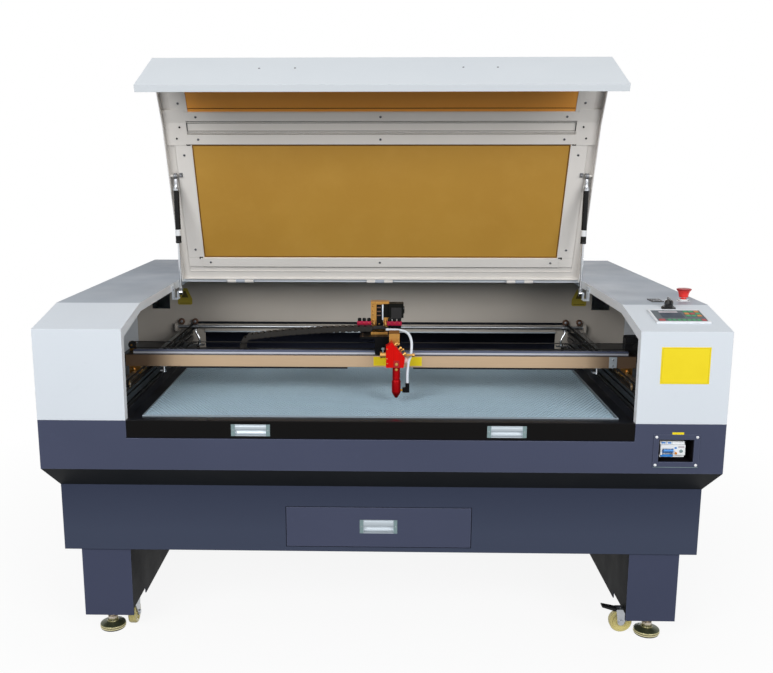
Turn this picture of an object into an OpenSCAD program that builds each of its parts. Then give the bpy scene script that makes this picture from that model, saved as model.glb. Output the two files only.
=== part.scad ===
// Flatbed laser cutting machine for acrylic sheet.
// X is the width, Y runs from front to back and Z is up. The origin is on the floor under the middle.
// Shapes are drawn with Y = 0 at the front plane, and from_front() moves them to the origin.

/* [Housings] */
// Overall width over both side towers
body_w = 1850; // [1600:10:2300]
// Depth of the housings
body_d = 1400; // [1150:10:1700]
// Height of the roof above the floor
roof_z = 955; // [940:5:990]
// Width of each side tower
tower_w = 240; // [220:5:290]
// Height where the tower fronts meet the slope
front_z = 915; // [890:5:925]
// Depth of the sloping part of the roof
slope_d = 210; // [180:5:250]
// Seam between the white towers and the blue cabinet
seam_z = 665; // [655:1:670]
// Sheet thickness of the housings
sheet = 3; // [2:0.5:4]
// Depth of the folded lip along the open side of each tower
lip_h = 25; // [15:1:30]
// Depth of the closed bay behind the work chamber
rear_bay = 400; // [300:5:450]

/* [Cabinet and legs] */
// Bottom of the full-width band
band_z = 527; // [510:1:540]
// Bottom of the tapered part
taper_z = 464; // [440:1:480]
// Bottom of the narrow box
box_z = 271; // [240:1:290]
// How far the box stands in from the sides
side_inset = 34; // [20:1:60]
// How far the box stands in from the front and the back
front_inset = 53; // [40:1:80]
// Bottom edge of the leg boxes
leg_z = 66; // [60:1:75]
// Width of each leg box
leg_w = 140; // [130:5:180]
// Distance from the side of the machine to the outside of a leg
leg_side = 80; // [60:5:120]
// Distance from the front plane to the front of a leg
leg_front = 58; // [55:1:90]

/* [Bed and lid] */
// Top of the honeycomb bed
bed_z = 668; // [666:1:672]
// Gap between the bed and the towers
bed_margin = 35; // [30:1:60]
// Distance from the front plane to the bed
bed_front = 45; // [42:1:60]
// Distance from the bed to the back wall of the chamber
bed_back = 55; // [45:5:100]
// Height of the honeycomb core
core_h = 18; // [12:1:25]
// Depth of the lid when shut
lid_d = 768; // [700:2:800]
// Gap between the lid and each tower
lid_gap = 7; // [5:1:12]
// Height of the front skirt of the lid
skirt_h = 248; // [240:1:249]
// Angle that the lid stands open
lid_angle = 67.5; // [50:1:75]

/* [Gas struts] */
// Distance from the front plane to the strut stud on the shut lid
stud_y = 385; // [375:1:400]
// Distance of the strut foot in front of the hinge
foot_back = 136; // [130:1:150]
// Drop of the strut foot below the roof
foot_drop = 30; // [28:1:34]
// Radius of the strut cylinder
strut_r = 9; // [8:0.5:10]
// Radius of the strut rod
rod_r = 4; // [3:0.5:4.5]

/* [Gantry] */
// Distance from the front plane to the front of the beam
beam_y = 250; // [150:5:400]
// Depth of the beam
beam_d = 60; // [50:1:70]
// Height of the beam
beam_h = 35; // [30:1:40]
// Underside of the beam
beam_z = 761; // [758:1:765]
// Distance from the side of the machine to each end of the beam
beam_side = 180; // [170:1:185]
// Position of the cutting head across the machine
head_x = 49; // [-200:1:300]
// Distance of the nozzle in front of the beam
head_reach = 55; // [52:1:60]
// Height of the nozzle tip above the bed
tip_gap = 16; // [8:1:20]
// Mean radius of the bend in the drag chain
bend_r = 26; // [22:1:30]
// Pitch of the drag chain links
link_pitch = 20; // [16:1:24]

/* [Drawer and flap] */
// Width of the drawer front
drawer_w = 517; // [400:1:600]
// Height of the drawer front
drawer_h = 116; // [100:1:130]
// Depth of the drawer box
drawer_d = 600; // [400:10:800]
// Height of the front flap
flap_h = 50; // [46:1:56]

/* [Feet and wheels] */
// Radius of a levelling foot
foot_r = 33; // [30:1:40]
// Radius of a castor wheel
wheel_r = 32.5; // [28:0.5:33]
// Width of a castor wheel
wheel_w = 22; // [18:1:24]
// Trail of the castor wheel behind its swivel
trail = 19; // [15:1:20]

/* [Hidden] */

$fn = 48;
// Cutters pass this far beyond the faces that they cut
over = 1;
// Gap between pieces of different bodies that lie side by side
gap = 0.3;
// Radial clearance of a pin that turns or slides in its bore
run = 0.05;

// Main planes and widths; the breaker's bezel is the foremost part
bezel_t = 2;
side = body_w / 2;
inner = side - tower_w;
wall_y = body_d - rear_bay;
liner_x = side - 22;
hinge_r = 6;
hinge_y = lid_d + hinge_r + 2;
hinge_z = roof_z - 8;
roof_y = hinge_y + hinge_r + 2;
bed_w = 2 * (inner - bed_margin);
bed_d = wall_y - bed_front - bed_back;
plinth_z = bed_z + 20;

// Slope of the roof and the control area
slope_angle = atan((roof_z - front_z) / slope_d);
function slope_at(y) = front_z + (roof_z - front_z) * y / slope_d;
// The slope and its fold, drawn in square to the sheet by t
function fold_points(t) = [[t, slope_at(t) - t / cos(slope_angle)],
    [slope_d + t * tan(slope_angle / 2), roof_z - t]];

// Guide rails across the chamber
rail_x = inner + 33;
rail_w = 54;
rail_h = 45;
guide_w = 15;
guide_h = 14;
rail_top = plinth_z + rail_h;
guide_top = rail_top + guide_h;
belt_x = rail_x - 26;
pulley_r = 8.5;
belt_t = 1;
pulley_z = guide_top + 3;
shaft_y = wall_y - 15;
shaft_r = 5;
idler_y = 70;
belt_w = 9;

// Beam, carriage and head
beam_x = side - beam_side;
beam_top = beam_z + beam_h;
xguide_h = 11;
xguide_y = beam_y + 12;
xbelt_y = beam_y + 47;
xbelt_z = beam_top + 20;
drive_x = beam_x + 12;
xidler_x = beam_x - 8;
plate_z = beam_top + 55;
head_y = beam_y - head_reach;
tip_z = bed_z + tip_gap;
tower_back = 120;
mirror_w = 50;
mirror_z = tip_z + 91;
mirror_top = tip_z + 167;
tube_r = 11;
collar_r = 13;

// Drag chain: it runs left from its fixed end and from the carriage
chain_w = 30;
chain_h = 22;
chain_y = beam_y + beam_d + 22;
chain_low_z = beam_z + 2 + chain_h / 2 + gap;
chain_fixed_x = head_x - 91;
chain_move_x = head_x - 71;
chain_bend_x = head_x - 439;
chain_end_z = plate_z + 4.5;

// Struts
strut_x = inner - 27;
eye_w = 10;
stud_shut = [stud_y, roof_z - 15];
foot_p = [hinge_y - foot_back, roof_z - foot_drop];
function opened(p) = [
    hinge_y + (p[0] - hinge_y) * cos(lid_angle) + (p[1] - hinge_z) * sin(lid_angle),
    hinge_z - (p[0] - hinge_y) * sin(lid_angle) + (p[1] - hinge_z) * cos(lid_angle)];
stud_p = opened(stud_shut);
strut_len = norm(stud_p - foot_p);
strut_tilt = atan2(foot_p[0] - stud_p[0], stud_p[1] - foot_p[1]);
shut_len = norm(stud_shut - foot_p);
socket_len = 40;
cylinder_len = shut_len - 39;

// Castors: swivel place, direction of the trail at rest, and whether it has a brake
plate_low = leg_z + 28;
plate_t = 4;
swivel_x = side - leg_side - leg_w + 22;
foot_x = swivel_x + 57;
swivel_y = leg_front + 67;
CASTORS = [[-swivel_x, swivel_y, 90, true], [swivel_x, swivel_y, 180, true],
    [-swivel_x, body_d - swivel_y, 0, false], [swivel_x, body_d - swivel_y, 180, false]];
wheel_z = wheel_r + 1.5;
axle_r = 4;
king_r = 5;

// Colours
WHITE = [0.87, 0.89, 0.91];
BLUE = [0.26, 0.29, 0.38];
BLACK = [0.07, 0.07, 0.08];
STEEL = [0.70, 0.71, 0.73];
GOLD = [0.80, 0.60, 0.28];
RED = [0.80, 0.06, 0.07];

module from_front() { translate([0, -(body_d - bezel_t) / 2, 0]) children(); }
// A box from one corner to the other
module box(a, b) { translate(a) cube(b - a); }
// Both sides of the machine
module pair() {
    children();
    mirror([1, 0, 0]) children();
}
// An outline in Y and Z, extruded along X from x0 to x1
module along_x(x0, x1) { translate([x0, 0, 0]) rotate([90, 0, 90]) linear_extrude(x1 - x0) children(); }
// An outline in X and Z, extruded along Y from y0 to y1
module along_y(y0, y1) { translate([0, y1, 0]) rotate([90, 0, 0]) linear_extrude(y1 - y0) children(); }
module rod_x(r, x0, x1, y, z) { translate([x0, y, z]) rotate([0, 90, 0]) cylinder(r = r, h = x1 - x0); }
module rod_y(r, y0, y1, x, z) { translate([x, y1, z]) rotate([90, 0, 0]) cylinder(r = r, h = y1 - y0); }
module rod_z(r, z0, z1, x, y) { translate([x, y, z0]) cylinder(r = r, h = z1 - z0); }

// ---- Lower cabinet ----

// Full form of the cabinet: its front view and side view cross each other, drawn in by t
module cabinet_form(t) {
    intersection() {
        along_y(t, body_d - t)
            polygon([for (s = [1, -1]) for (p = s > 0
                ? [[side - side_inset - t, box_z], [side - side_inset - t, taper_z], [side - t, band_z],
                    [side - t, seam_z]]
                : [[side - t, seam_z], [side - t, band_z], [side - side_inset - t, taper_z],
                    [side - side_inset - t, box_z]]) [s * p[0], p[1]]]);
        along_x(-side, side)
            polygon([[front_inset + t, box_z], [front_inset + t, taper_z], [t, band_z], [t, seam_z],
                [body_d - t, seam_z], [body_d - t, band_z], [body_d - front_inset - t, taper_z],
                [body_d - front_inset - t, box_z]]);
    }
}

breaker_x = side - 129;
breaker_z = band_z + 64;
breaker_w = 94;
breaker_h = 63;
drawer_z = box_z + 15;
duct_r = 75;
duct_z = box_z + 97;
flap_x = inner - 1;
flap_z = seam_z - flap_h;

module base_cabinet() color(BLUE) from_front() {
    difference() {
        cabinet_form(0);
        difference() {
            cabinet_form(sheet);
            box([-side, 0, 0], [side, body_d, box_z + sheet]);
            // Flange that carries the towers
            difference() {
                box([-side, 0, seam_z - sheet], [side, body_d, seam_z]);
                box([-side + 32, 32, 0], [side - 32, body_d - 32, roof_z]);
            }
        }
        box([-inner, -over, flap_z], [inner, 34, seam_z + over]);
        box([-drawer_w / 2 - 2, front_inset - over, drawer_z - 2],
            [drawer_w / 2 + 2, front_inset + sheet + over, drawer_z + drawer_h + 2]);
        box([breaker_x - breaker_w / 2 - sheet, -over, breaker_z - breaker_h / 2 - sheet],
            [breaker_x + breaker_w / 2 + sheet, sheet + over, breaker_z + breaker_h / 2 + sheet]);
        rod_y(duct_r - 4, body_d - front_inset - sheet - over, body_d - front_inset + over, 0, duct_z);
    }
    // Runners that carry the drawer
    pair() box([drawer_w / 2 - 32, front_inset + sheet, box_z + sheet],
        [drawer_w / 2 - 10, front_inset + drawer_d, drawer_z + 2 - gap]);
    // Rail that carries the front of the bed, behind the flap
    box([-inner, 38, flap_z - 8], [inner, 41, bed_z - 23]);
    box([-inner, sheet, flap_z - 3], [inner, 41, flap_z]);
}

// ---- Legs, feet and castors ----

module leg_box() {
    x0 = side - leg_side - leg_w;
    x1 = side - leg_side;
    y1 = body_d - leg_front;
    difference() {
        box([x0, leg_front, leg_z], [x1, y1, box_z]);
        box([x0 + sheet, leg_front + sheet, leg_z - over], [x1 - sheet, y1 - sheet, plate_low]);
        box([x0 + sheet, leg_front + sheet, plate_low + plate_t], [x1 - sheet, y1 - sheet, box_z - sheet]);
        for (y = [swivel_y, body_d - swivel_y]) {
            // Room for the wheel to swing out through the inner wall
            box([x0 - over, y - 60, leg_z - over], [x0 + sheet + over, y + (y < body_d / 2 ? 78 : 60), crown_z + 14.5]);
            rod_z(king_r + run, plate_low - over, plate_low + plate_t + over, swivel_x, y);
            rod_z(6 + gap, plate_low - over, plate_low + plate_t + over, foot_x, y - (y < body_d / 2 ? 9 : -9));
        }
    }
}
module legs() color(BLUE) from_front() pair() leg_box();

module levelling_foot() {
    rotate_extrude() polygon([[0, 0], [foot_r - 2, 0], [foot_r, 2], [foot_r, 5.5], [foot_r - 1.5, 6.5], [foot_r, 7.5],
        [foot_r, 11], [foot_r - 2, 13], [foot_r - 8, 15], [18, 20], [15, 26], [12, 28], [9, 28], [9, plate_low - 9],
        [6, plate_low - 9], [6, plate_low + 22], [0, plate_low + 22]]);
    translate([0, 0, plate_low - 9]) cylinder(r = 13, h = 9, $fn = 6);
}
module levelling_feet() color(STEEL) from_front()
    pair() for (y = [swivel_y - 9, body_d - swivel_y + 9]) translate([foot_x, y, 0]) levelling_foot();

// Castor parts are drawn with the trail along +X from the swivel at the origin
module at_castor(i) {
    from_front() translate([CASTORS[i][0], CASTORS[i][1], 0]) rotate([0, 0, CASTORS[i][2]]) children();
}
cheek_y = wheel_w / 2 + 1.5;
crown_z = wheel_z + wheel_r + 4;
brake_x = trail + 12;
module fork(i) color(STEEL) at_castor(i) {
    difference() {
        rod_z(18, crown_z, plate_low - gap, 0, 0);
        rod_z(13, crown_z + 4, plate_low - 6, 0, 0);
    }
    rod_z(king_r, crown_z, plate_low + plate_t + 6, 0, 0);
    rod_z(9, plate_low + plate_t + gap, plate_low + plate_t + 6, 0, 0);
    box([-16, -cheek_y - 2.5, crown_z], [brake_x + 2, cheek_y + 2.5, crown_z + 3]);
    for (s = [-1, 1]) translate([0, s > 0 ? cheek_y + 2.5 : -cheek_y, 0]) rotate([90, 0, 0]) linear_extrude(2.5) {
        polygon([[-16, crown_z + 3], [brake_x + 2, crown_z + 3], [brake_x + 2, crown_z - 5], [trail + 10, wheel_z],
            [trail - 10, wheel_z]]);
        translate([trail, wheel_z]) circle(10);
    }
    rod_y(axle_r, -cheek_y - 6, cheek_y + 6, trail, wheel_z);
    rod_y(7, -cheek_y - 6, -cheek_y - 2.5, trail, wheel_z);
    rod_y(7, cheek_y + 2.5, cheek_y + 6, trail, wheel_z);
    // Pivot for the brake pedal
    if (CASTORS[i][3]) rod_y(3, -cheek_y - 2.5, cheek_y + 2.5, brake_x, crown_z - 1);
}
module wheel(i) color([0.88, 0.78, 0.45]) at_castor(i) translate([trail, 0, wheel_z]) rotate([90, 0, 0])
    rotate_extrude() polygon([[axle_r + run, -wheel_w / 2], [10, -wheel_w / 2], [12, -8], [wheel_r - 10, -8],
        [wheel_r - 8, -wheel_w / 2], [wheel_r - 2, -wheel_w / 2], [wheel_r, -wheel_w / 2 + 3],
        [wheel_r, wheel_w / 2 - 3], [wheel_r - 2, wheel_w / 2], [wheel_r - 8, wheel_w / 2],
        [wheel_r - 10, 8], [12, 8], [10, wheel_w / 2], [axle_r + run, wheel_w / 2]]);
module brake(i) color(BLACK) at_castor(i) difference() {
    translate([0, cheek_y - 1.5, 0]) rotate([90, 0, 0]) linear_extrude(2 * cheek_y - 3) {
        polygon([[brake_x, crown_z - 5.5], [brake_x + 22, crown_z + 1], [brake_x + 44, crown_z + 8],
            [brake_x + 44, crown_z + 12], [brake_x + 18, crown_z + 7], [brake_x + 2, crown_z + 3.5]]);
        translate([brake_x, crown_z - 1]) circle(4.5);
    }
    rod_y(3 + run, -cheek_y, cheek_y, brake_x, crown_z - 1);
    // Slot that clears the crown of the fork
    box([trail - 6, -cheek_y, crown_z - 1.2], [brake_x + 2 + gap, cheek_y, crown_z + 20]);
}
module fork_front_left() fork(0);
module fork_front_right() fork(1);
module fork_rear_left() fork(2);
module fork_rear_right() fork(3);
module wheel_front_left() wheel(0);
module wheel_front_right() wheel(1);
module wheel_rear_left() wheel(2);
module wheel_rear_right() wheel(3);
module brake_left() brake(0);
module brake_right() brake(1);

// ---- Towers and rear housing ----

// Side outline of the housings, drawn in by t, from height z0 up to depth y1
function roof_outline(t, z0, y1) = concat([[t, z0]], fold_points(t), [[y1 - t, roof_z - t], [y1 - t, z0]]);

module tower() {
    difference() {
        along_x(inner, side) polygon(roof_outline(0, seam_z, body_d));
        along_x(inner - over, side - sheet) polygon(roof_outline(sheet, seam_z - over, body_d));
    }
    // Lip along the open side, and its return down the front edge
    along_x(inner, inner + sheet) difference() {
        polygon(roof_outline(0, seam_z, body_d));
        polygon([[lip_h, seam_z - over], [lip_h, front_z - lip_h], [slope_d + 4, roof_z - lip_h],
            [body_d - lip_h, roof_z - lip_h], [body_d - lip_h, seam_z - over]]);
    }
    // Inner panel of the tower
    along_x(liner_x, liner_x + 2) polygon([[sheet, plinth_z], [sheet, front_z - sheet - 1],
        [slope_d, roof_z - sheet], [wall_y, roof_z - sheet], [wall_y, plinth_z]]);
}
panel_x = side - 111;
panel_w = 146;
panel_l = 100;
panel_y = 110;
estop_x = side - 45;
estop_y = slope_d + 75;
key_x = side - 119;
key_y = slope_d - 30;
port_x = side - 125;
port_y = slope_d + 75;
// Places a child on the slope at depth y, with its own Z square to the slope
module on_slope(x, y) { translate([x, y, slope_at(y)]) rotate([slope_angle, 0, 0]) children(); }

module tower_left() color(WHITE) from_front() mirror([1, 0, 0]) tower();
module tower_right() color(WHITE) from_front() difference() {
    tower();
    on_slope(panel_x, panel_y) box([-panel_w / 2 + 5, -panel_l / 2 + 5, -12], [panel_w / 2 - 5, panel_l / 2 - 5, 9]);
    on_slope(key_x, key_y) rod_z(11 + gap, -12, 12, 0, 0);
    rod_z(11 + gap, roof_z - 12, roof_z + 9, estop_x, estop_y);
    box([port_x - 14, port_y - 24, roof_z - 12], [port_x + 14, port_y + 24, roof_z + 9]);
}

module rear_housing() color(WHITE) from_front() {
    difference() {
        box([-inner, roof_y, seam_z], [inner, body_d, roof_z]);
        box([-inner - over, roof_y - over, seam_z - over], [inner + over, body_d - sheet, roof_z - sheet]);
        // Louvre slots in the back wall
        for (x = [-420, 420]) for (k = [0:7])
            box([x - 90, body_d - sheet - over, seam_z + 60 + 14 * k], [x + 90, body_d + over, seam_z + 65 + 14 * k]);
    }
    box([-inner, roof_y, roof_z - 12], [inner, roof_y + sheet, roof_z]);
}

slot_z0 = bed_z - 4;
slot_z1 = bed_z + 60;
slot_x = bed_w / 2;
module chamber_wall() color([0.72, 0.70, 0.66]) from_front() {
    difference() {
        box([-liner_x + gap, wall_y, bed_z - 12], [liner_x - gap, wall_y + sheet, roof_z - sheet - 1]);
        box([-slot_x, wall_y - over, slot_z0], [slot_x, wall_y + sheet + over, slot_z1]);
        pair() box([rail_x + 61, wall_y - over, roof_z - 141], [rail_x + 127, wall_y + sheet + over, roof_z - 81]);
        pair() box([inner - 1, wall_y - over, bed_z - 13], [liner_x + over, wall_y + sheet + over, plinth_z]);
        // Notch round the lip of the tower
        pair() box([inner - gap, wall_y - over, roof_z - lip_h - gap], [inner + sheet + gap, wall_y + 4, roof_z]);
    }
    // Stiffening rail over the slot
    difference() {
        box([-slot_x, wall_y - 7, slot_z1 + 3], [slot_x, wall_y, slot_z1 + 29]);
        box([-slot_x - over, wall_y - 5, slot_z1 + 5], [slot_x + over, wall_y + over, slot_z1 + 27]);
    }
    // Bearings of the cross shaft
    pair() difference() {
        box([rail_x + 30, shaft_y - 13, pulley_z - 16], [rail_x + 40, wall_y, pulley_z + 13]);
        rod_x(shaft_r + run, rail_x, rail_x + 60, shaft_y, pulley_z);
    }
}

// ---- Bed ----

frame_t = 3;
module bed_frame(out, in, z0, z1) {
    difference() {
        box([-bed_w / 2 - out, bed_front - out, z0], [bed_w / 2 + out, bed_front + bed_d + out, z1]);
        box([-bed_w / 2 + in, bed_front + in, z0 - over], [bed_w / 2 - in, bed_front + bed_d - in, z1 + over]);
    }
}
deck_z = seam_z;
module bed_deck() color(BLACK) from_front() {
    difference() {
        box([-inner + 1, flap_y + 6, deck_z - sheet], [inner - 1, wall_y - gap, deck_z]);
        box([-bed_w / 2 - 0.5, bed_front - 0.5, 0], [bed_w / 2 + 0.5, bed_front + bed_d + 0.5, roof_z]);
    }
    bed_frame(sheet, -0.5, bed_z - 23, deck_z);
    bed_frame(sheet, 20, bed_z - 23, bed_z - 20);
    for (k = [1:4]) box([-bed_w / 2 + k * bed_w / 5 - 10, bed_front + 15, bed_z - 23],
        [-bed_w / 2 + k * bed_w / 5 + 10, bed_front + bed_d - 15, bed_z - 20]);
    // Plinths that carry the guide rails inside the towers
    pair() difference() {
        box([inner - 1, sheet + gap, deck_z - sheet], [liner_x - gap, wall_y - gap, plinth_z]);
        box([inner + 2, sheet * 2, seam_z + sheet], [liner_x - 3, wall_y - 4, plinth_z - sheet]);
        box([inner - 2, 0, 0], [inner + sheet + gap, 32 + gap, plinth_z + over]);
        // Room for the flange of the cabinet
        box([inner - 2, 0, 0], [side, 32 + gap, seam_z]);
        box([side - 32 - gap, 0, 0], [side, wall_y, seam_z]);
    }
}
module honeycomb_frame() color([0.82, 0.84, 0.85]) from_front()
    bed_frame(0, frame_t, bed_z - 20, bed_z);
module honeycomb() color([0.57, 0.66, 0.72]) from_front()
    box([-bed_w / 2 + frame_t, bed_front + frame_t, bed_z - core_h],
        [bed_w / 2 - frame_t, bed_front + bed_d - frame_t, bed_z]);

// ---- Y axis ----

rail_y0 = 30;
module y_rails() color(BLACK) from_front() pair() {
    // Grooved profile
    along_y(rail_y0, wall_y - 22) translate([rail_x, plinth_z]) difference() {
        translate([-rail_w / 2, 0]) square([rail_w, rail_h]);
        for (s = [-1, 1]) for (z = [11, 34]) translate([s * rail_w / 2, z]) {
            square([10, 6], center = true);
            translate([-s * 5, 0]) square([6, 11], center = true);
        }
        for (x = [-14, 14]) translate([x, 10]) square([10, 12], center = true);
    }
    // Steel guide on the profile
    along_y(rail_y0 + 34, wall_y - 40) translate([rail_x, rail_top]) polygon([[-guide_w / 2, 0], [guide_w / 2, 0],
        [guide_w / 2, 5], [guide_w / 2 - 2, 7], [guide_w / 2, 9], [guide_w / 2, guide_h], [-guide_w / 2, guide_h],
        [-guide_w / 2, 9], [-guide_w / 2 + 2, 7], [-guide_w / 2, 5]]);
    // Bracket and pin of the front idler
    box([belt_x + belt_w / 2 + 2, idler_y - 10, rail_top], [belt_x + belt_w / 2 + 6, idler_y + 10, pulley_z + 8]);
    rod_x(3, belt_x - belt_w / 2 - 3, belt_x + belt_w / 2 + 2, idler_y, pulley_z);
}
// A flat belt loop around two wheels at u0 and u1
module belt_loop(u0, u1, v, r) {
    difference() {
        hull_free_loop(u0, u1, v, r + belt_t + 0.1);
        hull_free_loop(u0, u1, v, r + 0.1);
    }
}
module hull_free_loop(u0, u1, v, r) {
    translate([u0, v]) circle(r);
    translate([u1, v]) circle(r);
    translate([u0, v - r]) square([u1 - u0, 2 * r]);
}
module y_belts() color(BLACK) from_front() pair()
    along_x(belt_x - belt_w / 2, belt_x + belt_w / 2) belt_loop(idler_y, shaft_y, pulley_z, pulley_r);
// A toothed pulley with flanges, along X
module pulley_x(bore) {
    difference() {
        union() {
            rod_x(pulley_r - 0.3, -belt_w / 2 - 1, belt_w / 2 + 1, 0, 0);
            for (s = [-1, 1]) translate([s * (belt_w / 2 + 0.9), 0, 0]) rod_x(pulley_r + 2, -0.6, 0.6, 0, 0);
        }
        rod_x(bore, -20, 20, 0, 0);
    }
}
module sync_shaft() color(STEEL) from_front() {
    rod_x(shaft_r, -rail_x - 44, rail_x + 44, shaft_y, pulley_z);
    pair() translate([belt_x, shaft_y, pulley_z]) pulley_x(shaft_r - 1);
    // Shaft couplings on each side of the rails
    pair() rod_x(10, rail_x - 44, rail_x - 36, shaft_y, pulley_z);
}
module y_idlers() color(GOLD) from_front() pair() translate([belt_x, idler_y, pulley_z]) pulley_x(3 + run);

// ---- Lid ----

lid_x = inner - lid_gap;
win_x_edge = inner - 91;
win_y0 = slope_d + 75;
win_y1 = lid_d - 86;
slit_y0 = 70;
slit_y1 = slope_d - 49;
rim_h = 25;
skirt_t = 20;
module shut_to_open() {
    translate([0, hinge_y, hinge_z]) rotate([-lid_angle, 0, 0]) translate([0, -hinge_y, -hinge_z]) children();
}
// Side outline of the lid skin: a band t0 to t1 below the outer surface
module lid_band(t0, t1, y1) {
    f = fold_points(t1);
    polygon(concat([[t0, front_z - skirt_h]], fold_points(t0), [[y1, roof_z - t0], [y1, roof_z - t1], f[1], f[0],
        [t1, front_z - skirt_h]]));
}
hinge_xs = [-0.7 * inner, 0, 0.7 * inner];
knuckle = 30;
module lid_shell() color(WHITE) from_front() shut_to_open() {
    difference() {
        along_x(-lid_x, lid_x) lid_band(0, sheet, lid_d);
        box([-win_x_edge, win_y0, roof_z - 20], [win_x_edge, win_y1, roof_z + 20]);
        box([-win_x_edge, slit_y0, front_z - 20], [win_x_edge, slit_y1, roof_z + 20]);
    }
    // Folded rims at the sides, at the foot of the skirt and at the hinge
    pair() along_x(lid_x - sheet, lid_x) {
        f = fold_points(rim_h);
        polygon(concat([[0, front_z - skirt_h]], fold_points(0), [[lid_d, roof_z], [lid_d, roof_z - rim_h], f[1], f[0],
            [skirt_t, front_z - 70], [skirt_t, front_z - skirt_h]]));
    }
    box([-lid_x, 0, front_z - skirt_h], [lid_x, skirt_t, front_z - skirt_h + sheet]);
    box([-lid_x, skirt_t - sheet, front_z - skirt_h], [lid_x, skirt_t, front_z - skirt_h + 22]);
    box([-lid_x, lid_d - sheet, roof_z - 12], [lid_x, lid_d, roof_z]);
    // Ribs beside the fold
    for (y = [slope_d - 1, slope_d + 31]) box([-lid_x, y, roof_z - 8], [lid_x, y + 2, roof_z - 1]);
    // Moving knuckles of the hinges
    for (x = hinge_xs) for (s = [-1, 1]) difference() {
        union() {
            rod_x(hinge_r, x + s * knuckle - knuckle / 2, x + s * knuckle + knuckle / 2 - 0.5, hinge_y, hinge_z);
            box([x + s * knuckle - knuckle / 2, lid_d - 1, hinge_z - 4],
                [x + s * knuckle + knuckle / 2 - 0.5, hinge_y - 3.5, hinge_z + 4]);
        }
        rod_x(3 + run, x - 60, x + 60, hinge_y, hinge_z);
    }
    // Studs of the gas struts
    pair() rod_x(4, strut_x - eye_w / 2 - 1, lid_x - sheet, stud_shut[0], stud_shut[1]);
}
strip_t = 2;
pane_t = 3;
seat = 0.02;
module lid_strips() color(WHITE) from_front() shut_to_open() {
    z1 = roof_z - sheet - pane_t;
    box([-win_x_edge - 55, win_y0 - 38, z1 - strip_t], [win_x_edge + 55, win_y0 - 2, z1]);
    box([-win_x_edge - 55, win_y1 + 3, z1 - strip_t], [win_x_edge + 55, win_y1 + 38, z1]);
    pair() box([win_x_edge + 2, win_y0 - 1.5, z1 - strip_t], [win_x_edge + 55, win_y1 + 2.5, z1]);
    // Strips on the slope
    translate([0, 0, front_z]) rotate([slope_angle, 0, 0]) {
        s = slope_d / cos(slope_angle);
        box([-win_x_edge - 55, s - 38, -sheet - pane_t - strip_t], [win_x_edge + 55, s - 6, -sheet - pane_t]);
        pair() box([win_x_edge + 2, 30, -sheet - pane_t - strip_t], [win_x_edge + 55, s - 38.5, -sheet - pane_t]);
    }
}
module lid_windows() color([0.70, 0.52, 0.26, 0.6]) from_front() shut_to_open() {
    z1 = roof_z - sheet;
    box([-win_x_edge - 30, win_y0 - 25, z1 - pane_t], [win_x_edge + 30, win_y1 + 25, z1 - seat]);
    translate([0, 0, front_z]) rotate([slope_angle, 0, 0]) {
        s = slope_d / cos(slope_angle);
        box([-win_x_edge - 30, 50, -sheet - pane_t], [win_x_edge + 30, s - 30, -sheet - seat]);
    }
}
module lid_hinges() color(STEEL) from_front() for (x = hinge_xs) {
    rod_x(3, x - 48, x + 48, hinge_y, hinge_z);
    difference() {
        union() {
            rod_x(hinge_r, x - knuckle / 2 + 0.5, x + knuckle / 2 - 1, hinge_y, hinge_z);
            box([x - knuckle / 2 + 0.5, hinge_y + 3.5, hinge_z - 4], [x + knuckle / 2 - 1, roof_y, hinge_z + 6]);
        }
        rod_x(3, x - 20, x + 20, hinge_y, hinge_z);
    }
}

// ---- Gas struts, drawn at rest from the stud on the open lid down to the foot ----

module at_strut() {
    from_front() pair() translate([strut_x, stud_p[0], stud_p[1]]) rotate([strut_tilt, 0, 0]) children();
}
module gas_cylinders() color(BLACK) at_strut() {
    difference() {
        union() {
            rod_x(8, -eye_w / 2, eye_w / 2, 0, 0);
            rod_z(4.8, -socket_len, -4.6, 0, 0);
            rod_z(strut_r, -cylinder_len, -socket_len, 0, 0);
        }
        rod_x(4 + run, -20, 20, 0, 0);
        rod_z(rod_r + run, -cylinder_len - over, -socket_len - 12, 0, 0);
    }
}
module gas_rods() color(STEEL) at_strut() {
    rod_z(rod_r, -strut_len + 6, -cylinder_len + 16, 0, 0);
    rod_z(6, -strut_len + 6, -strut_len + 18, 0, 0);
    translate([0, 0, -strut_len]) rod_x(8, -eye_w / 2, eye_w / 2, 0, 0);
}
// The foot stud stops short of the eye, where the closed linkage is opened
module strut_brackets() color(STEEL) from_front() pair() {
    y = foot_p[0];
    z = foot_p[1];
    box([inner - 3, y - 20, z - 22], [inner, y + 20, z + 22]);
    box([strut_x + 8, y - 20, z - 22], [inner, y + 20, z - 19]);
    box([strut_x + 8, y - 12, z - 22], [strut_x + 11, y + 12, z + 4]);
    rod_x(5, strut_x + eye_w / 2 + gap, strut_x + 8, y, z);
}

// ---- Front flap and drawer ----

flap_y = 2;
flap_pin = [flap_y + 3, flap_z + 3.2];
grip_w = 106;
grip_h = 33;
grip_z = flap_z + 8;
module grips() for (x = [-0.507, 0.502]) translate([x * flap_x, 0, 0]) children();
module front_flap() color(BLACK) from_front() {
    difference() {
        union() {
            box([-flap_x, flap_y, flap_z + 3], [flap_x, flap_y + 2.5, seam_z]);
            // Folded top edge
            box([-flap_x, flap_y, seam_z - 2.5], [flap_x, flap_y + 5, seam_z]);
            rod_x(2.5, -flap_x, flap_x, flap_pin[0], flap_pin[1]);
        }
        grips() box([-grip_w / 2, flap_y - over, grip_z], [grip_w / 2, flap_y + 10, grip_z + grip_h]);
    }
}
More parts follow.
